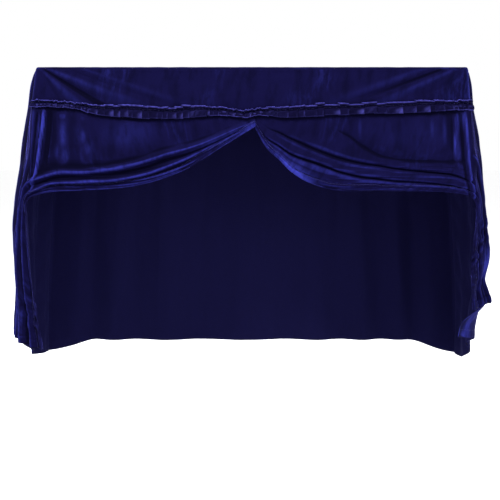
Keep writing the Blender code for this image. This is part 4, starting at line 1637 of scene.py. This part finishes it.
@dataclass
class BackPanel(HemmedPanel):
    """The plain back of the skirt.

    corner_hems are how far down it reaches at the left corner and the right, and middle_hem between them.
    """

    columns: int = 221
    rows: int = 109
    corner_hems: tuple = (1.1, 1.1)
    middle_hem: float = 1.06
    fold: float = 0.012
    seed: int = 77
    wrinkles: tuple = (Wrinkle(0.0035, 26.0, 1.5), Wrinkle(0.0016, 60.0, 3.0), Wrinkle(0.0012, 22.0, 12.0))

    def surface(self, share: Array, down: Array) -> Drape:
        """Gives the panel's middle surface.

        Args:
            share: Places from the left back seam to the right one.
            down: Shares of the way down.

        Returns:
            The surface.
        """
        shell = self.shell
        share, down = share[:, None], down[None, :]
        from_seam = np.minimum(share, 1 - share) * shell.run
        corner_hem = np.where(share < 0.5, *self.corner_hems)
        hem = mix(corner_hem, self.middle_hem, smooth(0.0, 0.2, from_seam))
        drop = mix(shell.start, hem, down)
        seam = shell.back_seam(drop)
        swing, lean = seam[0] - shell.out, seam[1] - shell.seam_back + shell.seam_gap
        x, out_back, _ = shell.plan(share)
        on_corner = from_seam < shell.corner_run
        x = np.where(on_corner, x + np.sign(x) * swing, x * (1 + swing / (shell.straight_run / 2)))
        depth = self.fold * smooth(0.15, 1.0, drop) * smooth(0.02, 0.16, from_seam)
        phase = 2 * np.pi * (8.0 * share + 0.5 * np.sin(7 * share))
        small = wrinkled([Ripple(self.seed)], self.wrinkles, share, drop) * smooth(0.02, 0.3, drop)
        y = shell.seam_back + out_back + lean + depth * (1 + np.sin(phase))
        y = y + small * smooth(0.01, 0.1, from_seam)
        return Drape(np.stack([x, y, -drop], axis=-1), -1)

    def build(self) -> Piece:
        """Makes the back panel.

        Returns:
            The piece.
        """
        self.hang(np.linspace(0, 1, self.columns), np.linspace(0, 1, self.rows))
        from_edge = self.drape.from_last_row()
        self.drape.lift(self.hem.height(from_edge, self.drape.metres(0), Ripple(self.seed + 1)))
        return self.drape.sheet("back_velvet", self.shell.cloth)


class Tuck(NamedTuple):
    """One pleat of the trim.

    start and width are its place along the wall, lap is how far it lies over the next one, and rise is its height.
    begin and end are its upper edge's offsets and lower is its lower edge's. The last field is how strong the
    highlight painted along its fold is.
    """

    start: float
    width: float
    lap: float
    rise: float
    begin: float
    end: float
    lower: float
    lean: float
    worn: float


@dataclass
class RuchedTrim(Panel):
    """The narrow strip across the front, laid in small pleats and stitched down below its upper edge."""

    slot: str = "trim_velvet"
    hold: Hold = Hold.GATHERED
    hangs_from: tuple = ("yoke_velvet",)
    rows: int = 29
    seed: int = 5
    thickness: float = 0.0009
    stitch_row: float = 0.3
    usual_pleat: float = 0.03
    longest_lap: float = 0.008

    # Across one pleat's top layer, as shares of its width.
    TOP_RUN = (0.0, 0.09, 0.22, 0.38, 0.56, 0.74, 0.88, 0.97)
    COLUMNS = ("run", "height", "upper", "lower", "lean", "worn", "turned")

    def tucks(self) -> list[Tuck]:
        """Draws the pleats, from left to right.

        Returns:
            The pleats.
        """
        shell = self.shell
        draw = np.random.default_rng(self.seed)
        tucks = []
        at = 0.002
        while at < shell.run - 0.004:
            usual = float(shell.trim.at(float(shell.plan(at / shell.run)[0]), "pleat"))
            size = usual / self.usual_pleat
            width = min(usual * draw.uniform(0.55, 1.4), shell.run - 0.002 - at)
            lap = min(width * draw.uniform(0.2, 0.38), self.longest_lap)
            rise = draw.uniform(0.0022, 0.0046) * (0.7 + 0.3 * size)
            step, tilt = draw.normal(0, 0.0015) * (0.5 + size), draw.uniform(-0.001, 0.0026) * size
            lower, lean = draw.normal(0, 0.0012), draw.normal(0, 0.0022)
            worn = draw.uniform(0.25, 1.0)
            tucks.append(Tuck(at, width, lap, rise, step - tilt / 2, step + tilt / 2, lower, lean, worn))
            at += width
        return tucks

    def plan(self) -> dict[str, Array]:
        """Follows the strip along the wall, over each pleat and back under its lap.

        Returns:
            For each column: its run along the wall, its layer's height, its upper and lower edges' offsets, its lean,
                its painted light (a painted highlight above nothing, painted shade in a hollow or under a lap below
                nothing), and how far along a highlighted pleat it lies.
        """
        tucks = self.tucks()
        columns = []
        for i, tuck in enumerate(tucks):
            following = tucks[min(i + 1, len(tucks) - 1)]
            full, under = tuck.width + tuck.lap, tuck.start + tuck.width
            for share in self.TOP_RUN:
                height = 0.0002 + tuck.rise * math.sin(math.pi / 2 * min(share / 0.75, 1.0)) ** 1.3
                height -= 0.0004 * max(0.0, share - 0.75) / 0.25
                # Painted shade in the pleat's hollow, and a painted highlight toward its fold.
                lighting = mix(-0.9, 0.0, min(share / 0.2, 1.0)) + tuck.worn * max(0.0, share - 0.72) / 0.25
                run, upper = tuck.start + share * full, mix(tuck.begin, tuck.end, share)
                columns.append((run, height, upper, tuck.lower, tuck.lean, lighting, share * tuck.worn))
            nose = tuck.start + full
            for run, height, share in (
                (nose + 0.0005, tuck.rise - 0.0008, 0.0),
                (nose + 0.0002, tuck.rise - 0.0014, 0.1),
                (nose - 0.0018, tuck.rise * 0.52, 0.3),
                (under + tuck.lap * 0.4, tuck.rise * 0.42, 0.6),
                (under + 0.0006, tuck.rise * 0.3, 0.9),
                (under - 0.0004, tuck.rise * 0.16, 1.0),
            ):
                # A painted highlight on the fold's nose, and painted shade under the lap.
                lighting = 0.5 * tuck.worn if share < 0.05 else -1.0
                upper, lower = mix(tuck.end, following.begin, share), mix(tuck.lower, following.lower, share)
                lean = mix(tuck.lean, following.lean, share)
                columns.append((run, height, upper, lower, lean, lighting, 0.0))
        return dict(zip(self.COLUMNS, np.array(columns).T[..., None]))

    def fineness(self, x: Array) -> Array:
        """Gives how finely the strip is pleated, from 0 where its pleats are broad to 1."""
        return 1 - smooth(0.016, 0.027, self.shell.trim.at(x, "pleat"))

    def surface(self, plan: dict[str, Array], down: Array) -> Array:
        """Gives the strip's middle surface.

        Args:
            plan: The strip's columns, as plan gives them.
            down: Shares of the way down.

        Returns:
            The points.
        """
        shell, ripple = self.shell, Ripple(self.seed + 1)
        run, down = plan["run"], down[None, :]
        share = np.clip((run + (down - self.stitch_row) * plan["lean"]) / shell.run, 0.0005, 0.9995)
        x = shell.plan(share)[0]
        fine = self.fineness(x)
        free = 1 - bell(down - self.stitch_row, 0.13)
        swing = ripple.at(run * 95 + 3, 4.0) * (0.0009 + 0.0026 * fine)
        top = shell.trim.at(x, "top") + plan["upper"] + swing
        ruffled = 0.7 * ripple.at(run * 80 + 30, 9.0) * 0.0016 * fine
        bottom = shell.trim.at(x, "bottom") + plan["lower"] + ruffled
        drop = mix(top, bottom, down)
        frill = ripple.at(run * 60, down * 1.3) * (0.0012 + 0.0022 * fine) * free
        frill += ripple.at(run * 150 + 7, down * 2.1) * (0.0005 + 0.0014 * fine) * free
        lift = (shell.cloth + self.thickness) / 2 + shell.seam_gap + frill
        lift = lift + Curve(TRIM_SECTION).at(down, "lift") + plan["height"] * (0.3 + 0.7 * free)
        return shell.front_wall(share, drop) + shell.outward(share) * lift[..., None]

    def wear(self, plan: dict[str, Array], down: Array) -> dict[str, Array]:
        """Gives the marks that the finish reads: highlights painted along edges, folds, flags and ruffles, and shade
        painted in the stitched groove and under the laps.

        Args:
            plan: The strip's columns, as plan gives them.
            down: Shares of the way down.

        Returns:
            The marks by name.
        """
        ripple = Ripple(self.seed + 2)
        run, worn, down = plan["run"], plan["worn"], down[None, :]
        fine = self.fineness(self.shell.plan(run / self.shell.run)[0])
        streaks = ripple.at(run * 170, down * 1.2)
        # Shade painted in the stitched groove; highlights painted on folds, streaks, edges, flags and ruffles.
        groove = bell(down - self.stitch_row, 0.12)
        lower = smooth(0.35, 0.75, down)
        folds = worn * (0.45 + 0.55 * lower) - 1.2 * groove * (0.6 + 0.4 * fine)
        creases = worn * (0.5 + 0.5 * lower) + 0.55 * np.maximum(streaks, 0) * lower - 0.8 * groove
        flag = smooth(0.84 - 0.4 * lower, 0.98, plan["turned"]) * lower
        upper_edge = (1 - smooth(0.07, 0.13, down)) * (0.85 + 0.9 * ripple.at(run * 70 + 11, 2.0))
        lower_edge = smooth(0.88, 0.96, down) * (0.2 + 1.0 * fine + 0.5 * np.maximum(worn, 0) * (1 - fine))
        ruffle = fine * bell(down - 0.62 - 0.12 * ripple.at(run * 45, 5.0), 0.07)
        ruffle = ruffle * smooth(-0.1, 0.4, ripple.at(run * 85 + 5, 7.0))
        handled = np.maximum(np.maximum(upper_edge, lower_edge), np.maximum(0.9 * flag, 0.8 * ruffle))
        handled = handled * (worn > -0.5)
        return {"folds": folds, "creases": creases, "handled": np.clip(handled, 0, 1)}

    def stitch_lines(self) -> list:
        """Gives the line that the strip is sewn along.

        Returns:
            A list of one line: its points and their outward directions.
        """
        row = round(self.stitch_row * (self.rows - 1))
        top = self.worn[:, 0] > -0.95
        outward = self.shell.outward(self.run[top, 0] / self.shell.run)
        return [(self.drape.points[top, row] + outward * self.thickness / 2, outward)]

    def build(self) -> Piece:
        """Makes the trim.

        Returns:
            The piece.
        """
        strip, down = self.plan(), np.linspace(0, 1, self.rows)
        self.run, self.worn = strip["run"], strip["worn"]
        self.drape = Drape(self.surface(strip, down), 1, marks=self.wear(strip, down))
        return self.drape.sheet("trim_velvet", self.thickness)


@dataclass
class Stitches:
    """A row of small stitches that lie on a seam.

    rings has the rings of one stitch, each as its place along the stitch and its share of the radius.
    """

    name: str
    length: float = 0.0032
    spacing: float = 0.005
    radius: float = 0.00032
    flatness: float = 0.8
    sides: int = 6
    rings: tuple = ((-0.5, 0.35), (-0.42, 0.85), (0.0, 1.0), (0.42, 0.85), (0.5, 0.35))

    def along(self, line: Array, outward: Array) -> tuple[Array, Array, Array]:
        """Places the stitches evenly along a line.

        Args:
            line: Points along the seam.
            outward: The outward normal at each.

        Returns:
            Each stitch's middle, its direction and its outward normal.
        """
        steps = np.linalg.norm(np.diff(line, axis=0), axis=1)
        run = np.concatenate([[0], np.cumsum(steps)])
        at = np.arange(self.spacing / 2, run[-1] - self.spacing / 2, self.spacing)

        def read(places: Array, values: Array) -> Array:
            """Reads vectors along the line at places on it."""
            return np.stack([np.interp(places, run, values[:, i]) for i in range(3)], axis=-1)

        middle = read(at, line)
        way = read(at + self.length / 2, line) - read(at - self.length / 2, line)
        way /= np.maximum(np.linalg.norm(way, axis=1, keepdims=True), 1e-9)
        return middle, way, read(at, outward)

    def build(self, rows: list) -> Piece:
        """Makes the stitches as one piece.

        Args:
            rows: A line and its outward normals for each seam.

        Returns:
            The piece.
        """
        vertices, faces = [], []
        for line, outward in rows:
            for middle, way, out in zip(*self.along(line, outward)):
                across = np.cross(way, out)
                across /= max(np.linalg.norm(across), 1e-9)
                out = np.cross(across, way)
                first = len(vertices)
                for place, size in self.rings:
                    for k in range(self.sides):
                        angle = 2 * math.pi * k / self.sides
                        offset = math.cos(angle) * across + math.sin(angle) * out * self.flatness
                        vertices.append(middle + way * place * self.length + offset * size * self.radius)
                for ring in range(len(self.rings) - 1):
                    for k in range(self.sides):
                        a, b = first + ring * self.sides + k, first + ring * self.sides + (k + 1) % self.sides
                        faces.append((a, b, b + self.sides, a + self.sides))
                last = first + (len(self.rings) - 1) * self.sides
                faces.append(tuple(range(first + self.sides - 1, first - 1, -1)))
                faces.append(tuple(range(last, last + self.sides)))
        mesh = bpy.data.meshes.new(self.name)
        mesh.from_pydata([tuple(v) for v in vertices], [], faces)
        mesh.shade_smooth()
        return linked(self.name, mesh)


# ---- Finishes ----


class Nodes:
    """A node tree, with short ways to add to it and join it up."""

    def __init__(self, tree: bpy.types.NodeTree) -> None:
        """Keeps the tree."""
        self.tree = tree

    def add(self, kind: str, **settings: object) -> Node:
        """Adds a node and sets its properties.

        Args:
            kind: The kind of node.
            **settings: The node's properties by name.

        Returns:
            The node.
        """
        node = self.tree.nodes.new(kind)
        for key, value in settings.items():
            setattr(node, key, value)
        return node

    def join(self, source: object, target: Socket) -> None:
        """Joins an output to an input, or sets the input to a plain value.

        Args:
            source: The output or the value.
            target: The input.
        """
        if isinstance(source, Socket):
            self.tree.links.new(source, target)
        else:
            target.default_value = source

    def fill(self, node: Node, sources: dict) -> Node:
        """Joins or sets a node's inputs.

        Args:
            node: The node.
            sources: An output or a value for each input, by the input's name.

        Returns:
            The node.
        """
        for name, source in sources.items():
            self.join(source, node.inputs[name])
        return node

    def maths(self, operation: str, first: object, second: object = 0.0) -> Socket:
        """Adds one sum.

        Args:
            operation: The sum's kind.
            first: Its first value.
            second: Its second value, which some kinds leave unread.

        Returns:
            The result.
        """
        node = self.add("ShaderNodeMath", operation=operation)
        self.join(first, node.inputs[0])
        self.join(second, node.inputs[1])
        return node.outputs[0]

    def spread(self, value: object, low: float, high: float, first: float, last: float) -> Socket:
        """Maps a value smoothly from one range to another.

        Args:
            value: The value.
            low: Where its range begins.
            high: Where its range ends.
            first: What it gives up to low.
            last: What it gives from high on.

        Returns:
            The result.
        """
        node = self.add("ShaderNodeMapRange", interpolation_type="SMOOTHSTEP")
        for source, target in zip((value, low, high, first, last), node.inputs[:5]):
            self.join(source, target)
        return node.outputs[0]

    def blend(self, share: object, first: object, second: object) -> Socket:
        """Mixes two colours.

        Args:
            share: How much of the second colour there is.
            first: The first colour.
            second: The second colour.

        Returns:
            The mixed colour.
        """
        node = self.add("ShaderNodeMix", data_type="RGBA")
        for source, place in ((share, 0), (first, 6), (second, 7)):
            self.join(source, node.inputs[place])
        return node.outputs[2]

    def noise(self, place: object, stretch: tuple, detail: float, roughness: float = 0.5) -> Socket:
        """Adds cloudy noise.

        Args:
            place: Where it is read.
            stretch: How many clouds it has in a metre each way.
            detail: How many finer layers it has.
            roughness: How strong those layers are.

        Returns:
            The noise's value.
        """
        scaled = self.add("ShaderNodeVectorMath", operation="MULTIPLY")
        self.join(place, scaled.inputs[0])
        scaled.inputs[1].default_value = stretch
        clouds = {"Vector": scaled.outputs[0], "Scale": 1.0, "Detail": detail, "Roughness": roughness}
        return self.fill(self.add("ShaderNodeTexNoise"), clouds).outputs["Fac"]

    def bump(self, height: object, strength: float, distance: object, over: object = None) -> Socket:
        """Adds a fine relief.

        Args:
            height: The relief's height.
            strength: How much of it is seen.
            distance: How deep it is.
            over: The surface's direction that it adds to, or None for the plain surface.

        Returns:
            The surface's direction.
        """
        relief = {"Strength": strength, "Distance": distance, "Height": height}
        node = self.fill(self.add("ShaderNodeBump"), relief)
        if over is not None:
            self.join(over, node.inputs["Normal"])
        return node.outputs[0]


def new_material(name: str) -> tuple[Material, Nodes, Node]:
    """Starts a material.

    Args:
        name: The material's name.

    Returns:
        The material, its nodes and its shader.
    """
    material = bpy.data.materials.new(name)
    material.use_nodes = True
    return material, Nodes(material.node_tree), material.node_tree.nodes["Principled BSDF"]


class NodeGroup:
    """A node group that is built on its first use and shared from then on.

    INPUTS has each input's kind and usual value, and OUTPUTS has each output's kind.
    """

    NAME = ""
    INPUTS: dict = {}
    OUTPUTS: dict = {}

    @classmethod
    def get(cls) -> bpy.types.NodeTree:
        """Gives the group.

        Returns:
            The group's tree.
        """
        if cls.NAME in bpy.data.node_groups:
            return bpy.data.node_groups[cls.NAME]
        tree = bpy.data.node_groups.new(cls.NAME, "ShaderNodeTree")
        for name, (kind, value) in cls.INPUTS.items():
            socket = tree.interface.new_socket(name, in_out="INPUT", socket_type=kind)
            if value is not None:
                socket.default_value = value
        for name, kind in cls.OUTPUTS.items():
            tree.interface.new_socket(name, in_out="OUTPUT", socket_type=kind)
        nodes = Nodes(tree)
        given = nodes.add("NodeGroupInput").outputs
        nodes.fill(nodes.add("NodeGroupOutput"), cls.wire(nodes, given))
        return tree

    @classmethod
    def wire(cls, nodes: Nodes, given: bpy.types.NodeOutputs) -> dict:
        """Builds what is inside the group.

        Args:
            nodes: The group's nodes.
            given: The group's inputs.

        Returns:
            What each output of the group gives.
        """
        raise NotImplementedError


class PileGroup(NodeGroup):
    """A velvet's pile: where it is brushed or crushed, how it breaks the light, and the highlights painted on raised
    cloth and the shade painted in hollows.
    """

    NAME = "velvet_pile"
    INPUTS = {
        "Place": (VECTOR, None),
        "Folds": (NUMBER, 0.0),
        "Creases": (NUMBER, 0.0),
        "Handled": (NUMBER, 0.0),
        "Hollow": (COLOR, (0.001, 0.001, 0.01, 1)),
        "Standing": (COLOR, (0.004, 0.003, 0.03, 1)),
        "Brushed": (COLOR, (0.03, 0.04, 0.3, 1)),
        "Crushing": (NUMBER, 0.5),
        "Pile Depth": (NUMBER, 0.0004),
    }
    OUTPUTS = {"Color": COLOR, "Brushed Mask": NUMBER, "Roughness": NUMBER, "Normal": VECTOR}
    PATCHES = (5.5, 3.4, 1.0)
    STROKES = (70.0, 17.0, 1.0)
    LAID = (24.0, 10.0, 1.0)
    WAVES = (24.0, 8.0, 1.0)
    SPECKLE = (900.0, 900.0, 900.0)
    GRAIN = 0.16

    @classmethod
    def wire(cls, nodes: Nodes, given: bpy.types.NodeOutputs) -> dict:
        """Builds the pile.

        Args:
            nodes: The group's nodes.
            given: The group's inputs.

        Returns:
            What each output of the group gives.
        """
        place, maths = given["Place"], nodes.maths
        # The pile is brushed faintly in patches at random. Highlights are painted in the bright colour where the
        # sheet's marks say it is brushed or highlighted, and where a fold or crease stands proud.
        patches = nodes.noise(place, cls.PATCHES, 2.0, 0.5)
        strokes = nodes.noise(place, cls.STROKES, 3.0, 0.62)
        faint = maths("MULTIPLY", nodes.spread(patches, 0.5, 0.68, 0.0, 1.0),
                      nodes.spread(strokes, 0.4, 0.66, 0.0, 1.0))
        faint = maths("MULTIPLY", faint, given["Crushing"])
        stroked = nodes.spread(strokes, 0.3, 0.58, 0.45, 1.0)
        crushed_and_lit = maths("MAXIMUM", faint, maths("MULTIPLY", stroked, given["Handled"]))
        # Highlights painted on raised folds and creases.
        on_folds = nodes.spread(given["Folds"], 0.3, 1.2, 0.0, 0.18)
        on_creases = nodes.spread(given["Creases"], 0.15, 1.0, 0.0, 0.6)
        ridge_highlight = maths("MAXIMUM", on_folds, on_creases)
        lighting = nodes.spread(strokes, 0.3, 0.62, 0.45, 1.0)
        brushed_and_lit_mask = maths("MAXIMUM", crushed_and_lit, maths("MULTIPLY", ridge_highlight, lighting))
        speckle = nodes.noise(place, cls.SPECKLE, 2.0, 0.6)
        grain = maths("MULTIPLY", maths("SUBTRACT", speckle, 0.5), cls.GRAIN)
        tone = nodes.blend(maths("ADD", brushed_and_lit_mask, grain), given["Standing"], given["Brushed"])
        # Shade is painted in hollows with the hollow colour, and the pile is darker at random where it lies the other
        # way.
        hollow = maths("MINIMUM", given["Folds"], given["Creases"])
        darkening = nodes.spread(nodes.noise(place, cls.LAID, 3.0, 0.55), 0.4, 0.72, 0.0, 0.5)
        mottle = maths("MULTIPLY", darkening, maths("SUBTRACT", 1.0, brushed_and_lit_mask))
        # Painted shade in hollows, with the random darker mottles.
        painted_dark = maths("MAXIMUM", nodes.spread(hollow, -0.95, -0.1, 0.85, 0.0), mottle)
        waves = nodes.bump(nodes.noise(place, cls.WAVES, 2.0, 0.5), 0.5, 0.004)
        return {
            "Color": nodes.blend(painted_dark, tone, given["Hollow"]),
            "Brushed Mask": brushed_and_lit_mask,
            "Roughness": nodes.spread(brushed_and_lit_mask, 0.0, 1.0, 0.92, 0.62),
            "Normal": nodes.bump(speckle, 0.5, given["Pile Depth"], over=waves),
        }


class WeaveGroup(NodeGroup):
    """A plain close weave, as on the velvet's ground cloth."""

    NAME = "plain_weave"
    INPUTS = {
        "Place": (VECTOR, None),
        "Threads": (NUMBER, 1400.0),
        "Thread": (COLOR, (0.02, 0.02, 0.12, 1)),
        "Between": (COLOR, (0.005, 0.005, 0.03, 1)),
        "Depth": (NUMBER, 0.0003),
    }
    OUTPUTS = {"Color": COLOR, "Normal": VECTOR}
    SLUB = (60.0, 240.0, 120.0)

    @classmethod
    def wire(cls, nodes: Nodes, given: bpy.types.NodeOutputs) -> dict:
        """Builds the weave.

        Args:
            nodes: The group's nodes.
            given: The group's inputs.

        Returns:
            What each output of the group gives.
        """
        maths = nodes.maths
        parts = nodes.add("ShaderNodeSeparateXYZ")
        nodes.join(given["Place"], parts.inputs[0])
        over_under = []
        for axis in (0, 1):
            turned = maths("MULTIPLY", parts.outputs[axis], given["Threads"])
            over_under.append(maths("ABSOLUTE", maths("SINE", turned)))
        slub = nodes.noise(given["Place"], cls.SLUB, 2.0)
        height = maths("ADD", maths("MULTIPLY", *over_under), maths("MULTIPLY", slub, 0.5))
        return {
            "Color": nodes.blend(nodes.spread(height, 0.2, 1.1, 0.0, 1.0), given["Between"], given["Thread"]),
            "Normal": nodes.bump(height, 0.6, given["Depth"]),
        }


@dataclass(frozen=True)
class ClothFinish:
    """What both faces of the cloth have: a dull surface with a soft sheen, laid out in metres."""

    name: str
    specular: float = 0.02
    sheen: float = 0.34
    sheen_roughness: float = 0.22
    sheen_tint: tuple = (0.17, 0.165, 1.0, 1.0)

    def faced(self, group: type[NodeGroup], settings: dict) -> tuple:
        """Starts the cloth's material, with the group that gives its colour and its relief.

        Args:
            group: The group.
            settings: The values that the group is given.

        Returns:
            The material, its nodes, its shader and the group's node.
        """
        material, nodes, shader = new_material(self.name)
        face = nodes.add("ShaderNodeGroup", node_tree=group.get())
        place = nodes.add("ShaderNodeUVMap", uv_map="cloth").outputs[0]
        nodes.fill(face, {"Place": place} | settings)
        nodes.fill(shader, {
            "Base Color": face.outputs["Color"],
            "Normal": face.outputs["Normal"],
            "Specular IOR Level": self.specular,
            "Sheen Weight": self.sheen,
            "Sheen Roughness": self.sheen_roughness,
            "Sheen Tint": self.sheen_tint,
        })
        return material, nodes, shader, face


@dataclass(frozen=True)
class VelvetFinish(ClothFinish):
    """Cut-pile velvet: deep in colour where its pile stands, bright where it is brushed and where highlights are
    painted, and dark where shade is painted in hollows.
    """

    # hollow is the colour of painted shade; the bright colour below serves brushed pile and painted highlights.
    hollow: tuple = (0.0004, 0.0003, 0.0036, 1.0)
    standing: tuple = (0.002, 0.0016, 0.0165, 1.0)
    brushed: tuple = (0.019, 0.022, 0.2, 1.0)
    crushing: float = 0.16
    pile_depth: float = 0.00035

    def material(self) -> Material:
        """Makes the material.

        Returns:
            The material.
        """
        tones = {"Hollow": self.hollow, "Standing": self.standing, "Brushed": self.brushed}
        settings = tones | {"Crushing": self.crushing, "Pile Depth": self.pile_depth}
        material, nodes, shader, pile = self.faced(PileGroup, settings)
        for mark in MARKS:
            read = nodes.add("ShaderNodeAttribute", attribute_name=mark)
            nodes.join(read.outputs["Fac"], pile.inputs[mark.capitalize()])
        nodes.join(pile.outputs["Roughness"], shader.inputs["Roughness"])
        return material


@dataclass(frozen=True)
class GroundFinish(ClothFinish):
    """The velvet's wrong side: a dull close weave."""

    thread: tuple = (0.0048, 0.0045, 0.033, 1.0)
    between: tuple = (0.0016, 0.0013, 0.011, 1.0)
    threads: float = 2600.0
    depth: float = 0.0003
    roughness: float = 0.9
    specular: float = 0.03
    sheen: float = 0.05
    sheen_roughness: float = 0.5
    sheen_tint: tuple = (0.2, 0.2, 1.0, 1.0)

    def material(self) -> Material:
        """Makes the material.

        Returns:
            The material.
        """
        tones = {"Thread": self.thread, "Between": self.between}
        settings = tones | {"Threads": self.threads, "Depth": self.depth}
        material, nodes, shader, _ = self.faced(WeaveGroup, settings)
        nodes.join(self.roughness, shader.inputs["Roughness"])
        return material


@dataclass(frozen=True)
class ThreadFinish:
    """Twisted sewing thread, darker between its twists."""

    name: str = "blue_thread"
    color: tuple = (0.02, 0.02, 0.17, 1.0)
    dark: float = 0.45
    twists: tuple = (2600.0, 2600.0, 2600.0)
    twist_depth: float = 0.0001
    roughness: float = 0.55

    def material(self) -> Material:
        """Makes the material.

        Returns:
            The material.
        """
        material, nodes, shader = new_material(self.name)
        twist = nodes.noise(nodes.add("ShaderNodeTexCoord").outputs["Object"], self.twists, 1.0)
        dark = tuple(value * self.dark for value in self.color[:3]) + (1.0,)
        nodes.fill(shader, {
            "Base Color": nodes.blend(twist, dark, self.color),
            "Roughness": self.roughness,
            "Normal": nodes.bump(twist, 1.0, self.twist_depth),
        })
        return material


@dataclass(frozen=True)
class FloorFinish:
    """A plain pale floor, faintly cloudy."""

    name: str = "pale_floor"
    light: tuple = (0.985, 0.985, 0.985, 1.0)
    cloudy: tuple = (0.965, 0.965, 0.97, 1.0)
    clouds: tuple = (2.0, 2.0, 2.0)
    roughness: float = 0.7

    def material(self) -> Material:
        """Makes the material.

        Returns:
            The material.
        """
        material, nodes, shader = new_material(self.name)
        tone = nodes.noise(nodes.add("ShaderNodeTexCoord").outputs["Object"], self.clouds, 2.0)
        color = nodes.blend(tone, self.cloudy, self.light)
        nodes.fill(shader, {"Base Color": color, "Roughness": self.roughness})
        return material


# ---------------------------------------------------------------------------------------------------------
# The studio
# ---------------------------------------------------------------------------------------------------------


class Lamp(NamedTuple):
    """One soft light: its name, where it hangs, what it points at, its width and its power in watts."""

    name: str
    place: tuple
    aim: tuple
    size: float
    power: float


@dataclass
class Studio:
    """A plain pale floor, soft lights and the camera."""

    floor_height: float = -1.25
    floor_size: float = 30.0
    backdrop: tuple = (1.0, 1.0, 1.0, 1.0)
    camera_place: tuple = (-0.007, -3.785, -0.259)
    camera_tilt: float = 6.22
    sensor: float = 36.0
    lens: float = 72.0
    lamps: tuple = (
        Lamp("key_light", (-0.7, -1.7, 2.6), (0.0, -0.2, -0.4), 0.9, 250.0),
        Lamp("fill_light", (2.8, -3.0, 0.6), (0.0, 0.0, -0.5), 1.6, 72.0),
        Lamp("rim_light", (0.0, 2.8, 2.4), (0.0, 0.0, -0.3), 2.0, 170.0),
        Lamp("side_light", (-3.2, -0.8, 0.4), (0.0, 0.0, -0.5), 1.2, 40.0),
    )

    def floor(self) -> None:
        """Makes the floor."""
        work = bmesh.new()
        bmesh.ops.create_grid(work, x_segments=2, y_segments=2, size=self.floor_size)
        mesh = bpy.data.meshes.new("studio_floor")
        work.to_mesh(mesh)
        work.free()
        floor = linked("studio_floor", mesh)
        floor.location.z = self.floor_height
        mesh.materials.append(FloorFinish().material())
        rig.stage(floor)

    def light(self, lamp: Lamp) -> None:
        """Hangs one soft light.

        Args:
            lamp: The light.
        """
        data = bpy.data.lights.new(lamp.name, "AREA")
        data.shape, data.size, data.energy = "SQUARE", lamp.size, lamp.power
        light = linked(lamp.name, data)
        light.location = lamp.place
        light.rotation_euler = (Vector(lamp.aim) - Vector(lamp.place)).to_track_quat("-Z", "Y").to_euler()

    def camera(self) -> None:
        """Sets up the camera, straight in front and looking a little down."""
        data = bpy.data.cameras.new("front_camera")
        data.sensor_width, data.lens = self.sensor, self.lens
        camera = linked("front_camera", data)
        camera.location = self.camera_place
        camera.rotation_euler = (math.radians(90 - self.camera_tilt), 0.0, 0.0)
        bpy.context.scene.camera = camera

    def build(self) -> None:
        """Sets up the floor, the lights, the backdrop and the camera."""
        self.floor()
        for lamp in self.lamps:
            self.light(lamp)
        world = bpy.data.worlds.new("soft_backdrop")
        world.use_nodes = True
        sky = world.node_tree.nodes["Background"]
        sky.inputs["Color"].default_value = self.backdrop
        sky.inputs["Strength"].default_value = 1.0
        scene = bpy.context.scene
        scene.world = world
        scene.view_settings.view_transform = "Standard"
        self.camera()


def plain_bounds() -> list:
    """Gives the part's box as plain lists: its lowest corner and its highest."""
    low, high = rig.bounds()
    return [list(low), list(high)]


def main() -> None:
    """Builds the cover's pieces in order, dresses them and sets up the studio."""
    sizes = {"cad": plain_bounds()}
    logging.basicConfig(level=logging.INFO, format="%(name)s: %(message)s")
    shell = Shell()
    thread = ThreadFinish().material()
    velvet = [VelvetFinish("blue_velvet").material(), GroundFinish("velvet_wrong_side").material()]
    # The trim's velvet: its bright colour serves brushed pile and painted highlights.
    ruched = VelvetFinish("trim_velvet", standing=(0.0017, 0.0013, 0.0125, 1.0),
                          brushed=(0.024, 0.0225, 0.132, 1.0), crushing=0.3).material()
    sides = [
        SidePanel(shell, side=Side.LEFT, seed=60, corner_shade=0.6),
        SidePanel(shell, side=Side.RIGHT, seed=70, free_from=0.842, curl=0.055),
    ]
    corner_hems = tuple(panel.hem_drop(1.0) for panel in sides)
    panels: list[tuple[Panel, str, list]] = [
        (TopPanel(shell), "top_panel", velvet),
        (FrontYoke(shell), "front_yoke", velvet),
        (RuchedTrim(shell), "ruched_trim", [ruched, velvet[1]]),
        (SweptCurtain(shell, side=Side.LEFT, seam_end=0.95, corner_shade=0.75, seed=3), "curtain_left", velvet),
        (SweptCurtain(shell, side=Side.RIGHT, seam_end=0.832, seed=4), "curtain_right", velvet),
        (sides[0], "side_left", velvet),
        (sides[1], "side_right", velvet),
        (BackPanel(shell, corner_hems=corner_hems), "back_panel", velvet),
    ]
    for panel, node, finishes in panels:
        piece = panel.build()
        panel.dress(piece, finishes, thread, node)
        log.info("%s: %d faces, %.3f square metres", piece.name, len(piece.data.polygons), panel.drape.area())
    Studio().build()
    sizes["visual"] = plain_bounds()
    with open(SIZE_FILE, "w") as file:
        json.dump(sizes, file)


if __name__ == "__main__":
    main()
